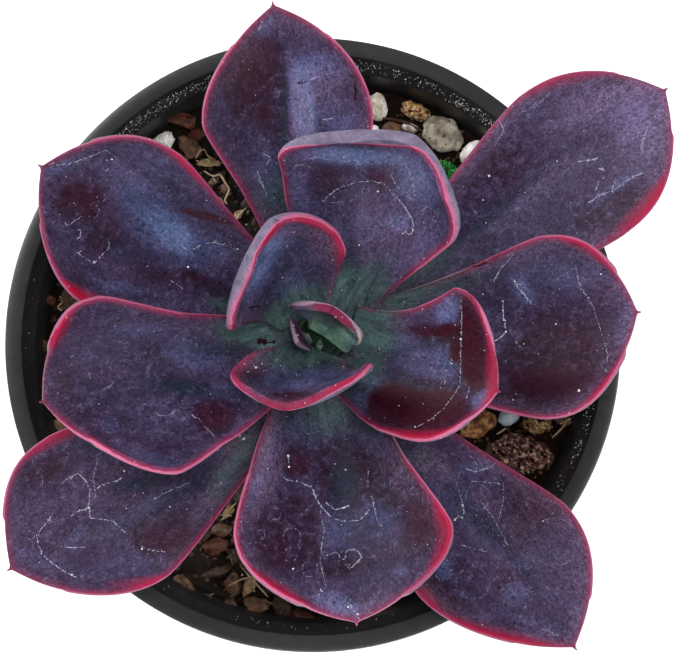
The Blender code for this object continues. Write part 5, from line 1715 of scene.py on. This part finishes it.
def build_studio():
    """A pale matt floor under soft light, brightest from the upper left."""
    floor_mesh = bpy.data.meshes.new("studio_floor")
    corners = [(x * FLOOR_HALF, y * FLOOR_HALF, 0) for x, y in ((-1, -1), (1, -1), (1, 1), (-1, 1))]
    floor_mesh.from_pydata(corners, [], [(0, 1, 2, 3)])
    floor = bpy.data.objects.new("studio_floor", floor_mesh)
    bpy.context.scene.collection.objects.link(floor)
    floor.location.z = -0.5 * MM
    paper, _, shader = new_material("studio_paper")
    shader.inputs["Base Color"].default_value = linear("f7f7f7")
    shader.inputs["Roughness"].default_value = 0.9
    shader.inputs["Specular IOR Level"].default_value = 0.1
    # lit through from below, like a light table, which keeps the shadows pale
    shader.inputs["Emission Color"].default_value = linear("ffffff")
    shader.inputs["Emission Strength"].default_value = 0.3
    floor_mesh.materials.append(paper)
    world = bpy.data.worlds.new("studio_air")
    bpy.context.scene.world = world
    world.use_nodes = True
    # the ceiling over the camera is dark, so that bare skin shines only where it leans towards a light
    air = world.node_tree.nodes["Background"]
    way = add(world.node_tree, "TexCoord").outputs["Generated"]
    height = add(world.node_tree, "SeparateXYZ", links={0: way}).outputs["Z"]
    glow = add(world.node_tree, "ValToRGB", {"stops": ((0.45, 0.42), (0.9, 0.10))}, {"Fac": height})
    world.node_tree.links.new(glow.outputs["Color"], air.inputs["Color"])
    for name, place, size, power in LAMPS:
        area_light(name, place, size, power)
    # straight above, behind a polarizer that keeps its sheen off the leaves
    area_light("top_light", *TOP_LAMP).visible_glossy = False
    bpy.context.scene.view_settings.view_transform = "Standard"


def main():
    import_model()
    place_camera()
    build_studio()
    # Grown leaves with whole wax: root greens, pinks of the margin, crimsons beside it, and backs
    waxed = ("25383a", "526a68"), ("8e3f5e", "d47a9e"), ("841c40", "9a0a2c"), ("564e62", "7c7288")
    skin = echeveria_skin("echeveria_skin_waxed", *waxed)
    # Young leaves of the heart, still folded: paler green, lightened further as painted light on faces that
    # lie
    #     # in the heart's shade, with cream margins
    tender = ("4a7480", "8cac88"), ("8a7084", "d4c8b0"), ("5a3248", "701034"), ("6e6474", "8e8290")
    young = echeveria_skin("echeveria_skin_young", *tender)
    blades = grow_leaves(skin, young)
    # Leaf wax, scraped into crumbs by a touch: pale grey-blue and matt against the plum; the same finish
    #     # draws a painted highlight along a heart leaf's rim
    scraped_or_highlight = mottled("leaf_wax_scraped_or_highlight", "5c5f7c", "b9bccb", 0.5, 0.6, ior=1.44)
    # Leaf skin, cracked and healed: nearly black red
    cracked = mottled("leaf_skin_cracked", "14060c", "2a0d18", 1.0, 0.4, ior=1.42)
    # Leaf wax, lifted by a drop that dried: a faint lilac ring
    drop_mark = mottled("leaf_wax_drop_dried", "3c3852", "75739a", 0.66, 0.6, ior=1.44)
    mark_leaves(blades, scraped_or_highlight, drop_mark, cracked)
    # Stem bark, grown: grey-green darkened as painted shade of the hollow at the heart, in patches of 1.7
    # mm
    grow_stem(mottled("stem_bark_painted_shade", "16281c", "2c4230", 1.7, 0.6))
    # Polypropylene, injection moulded: black with a soft shine. The mould's grain of 0.05 mm would not
    # show, so its unevenness is drawn 2 mm wide.
    mould_pot(mottled("polypropylene_moulded", "212122", "2b2b2c", 2.0, 0.42, 0.02, ior=1.49))
    # Peat, milled: its dark brown made almost black as painted shade of the gaps between the chips, and
    #     # without shine, so that the chips stand out on it
    lay_bed(mottled("peat_milled", "070403", "1d120b", 1.1, 0.95, 0.3))
    # Pine bark, chipped and composted: dark to tan by age, with a slight shine, damp, in plates of 1 mm
    barks = [
        mottled("pine_bark_composted", "170e09", "503a2c", 0.9, 0.42, 0.4),
        mottled("pine_bark_chipped", "21120a", "765640", 1.0, 0.4, 0.4),
        mottled("pine_bark_inner_red", "240e09", "683a2a", 1.0, 0.38, 0.4),
        mottled("pine_bark_bleached", "3e2a1a", "bb9c72", 0.9, 0.5, 0.4),
    ]
    scatter_bark(barks)
    # Perlite, glass popped by heat: bright white grains
    perlite = mottled("perlite_popped", "c9c6c0", "f6f5f2", 0.33, 0.8)
    # Straw, dried: golden, with a dull shine
    straw = mottled("straw_dried", "6e5238", "ccae88", 1.25, 0.5)
    scatter_crumbs([barks[0], barks[1], straw, perlite])
    # Roots, dried: pale buff where they are thick, dark brown where they are fine
    roots = mottled("root_dried_pale", "8a6a50", "dcc2a2", 1.25, 0.55)
    rootlets = mottled("root_dried_dark", "231610", "4e382a", 1.25, 0.6)
    lay_fibres([straw, roots, rootlets])
    set_stones()
    # Moss, growing: leaflets in deep green, a darker copy that stands as painted shade, in vivid green and
    # in
    #     # yellower green, mixed at random
    greens = [
        mottled("moss_leaf_shaded", "04280f", "0c5a24", 1.0, 0.6),
        mottled("moss_leaf_fresh", "0c7a2e", "2faa4a", 1.0, 0.6),
        mottled("moss_leaf_tip", "3c9a3c", "8fd06a", 1.0, 0.6),
    ]
    grow_moss(greens)
    # Mineral dust, settled: off-white specks
    grit = mottled("mineral_dust_settled", "b9b4b0", "f4f2f0", 0.5, 0.8)
    dust_pot(grit)
    dust_leaves(blades, grit)


main()
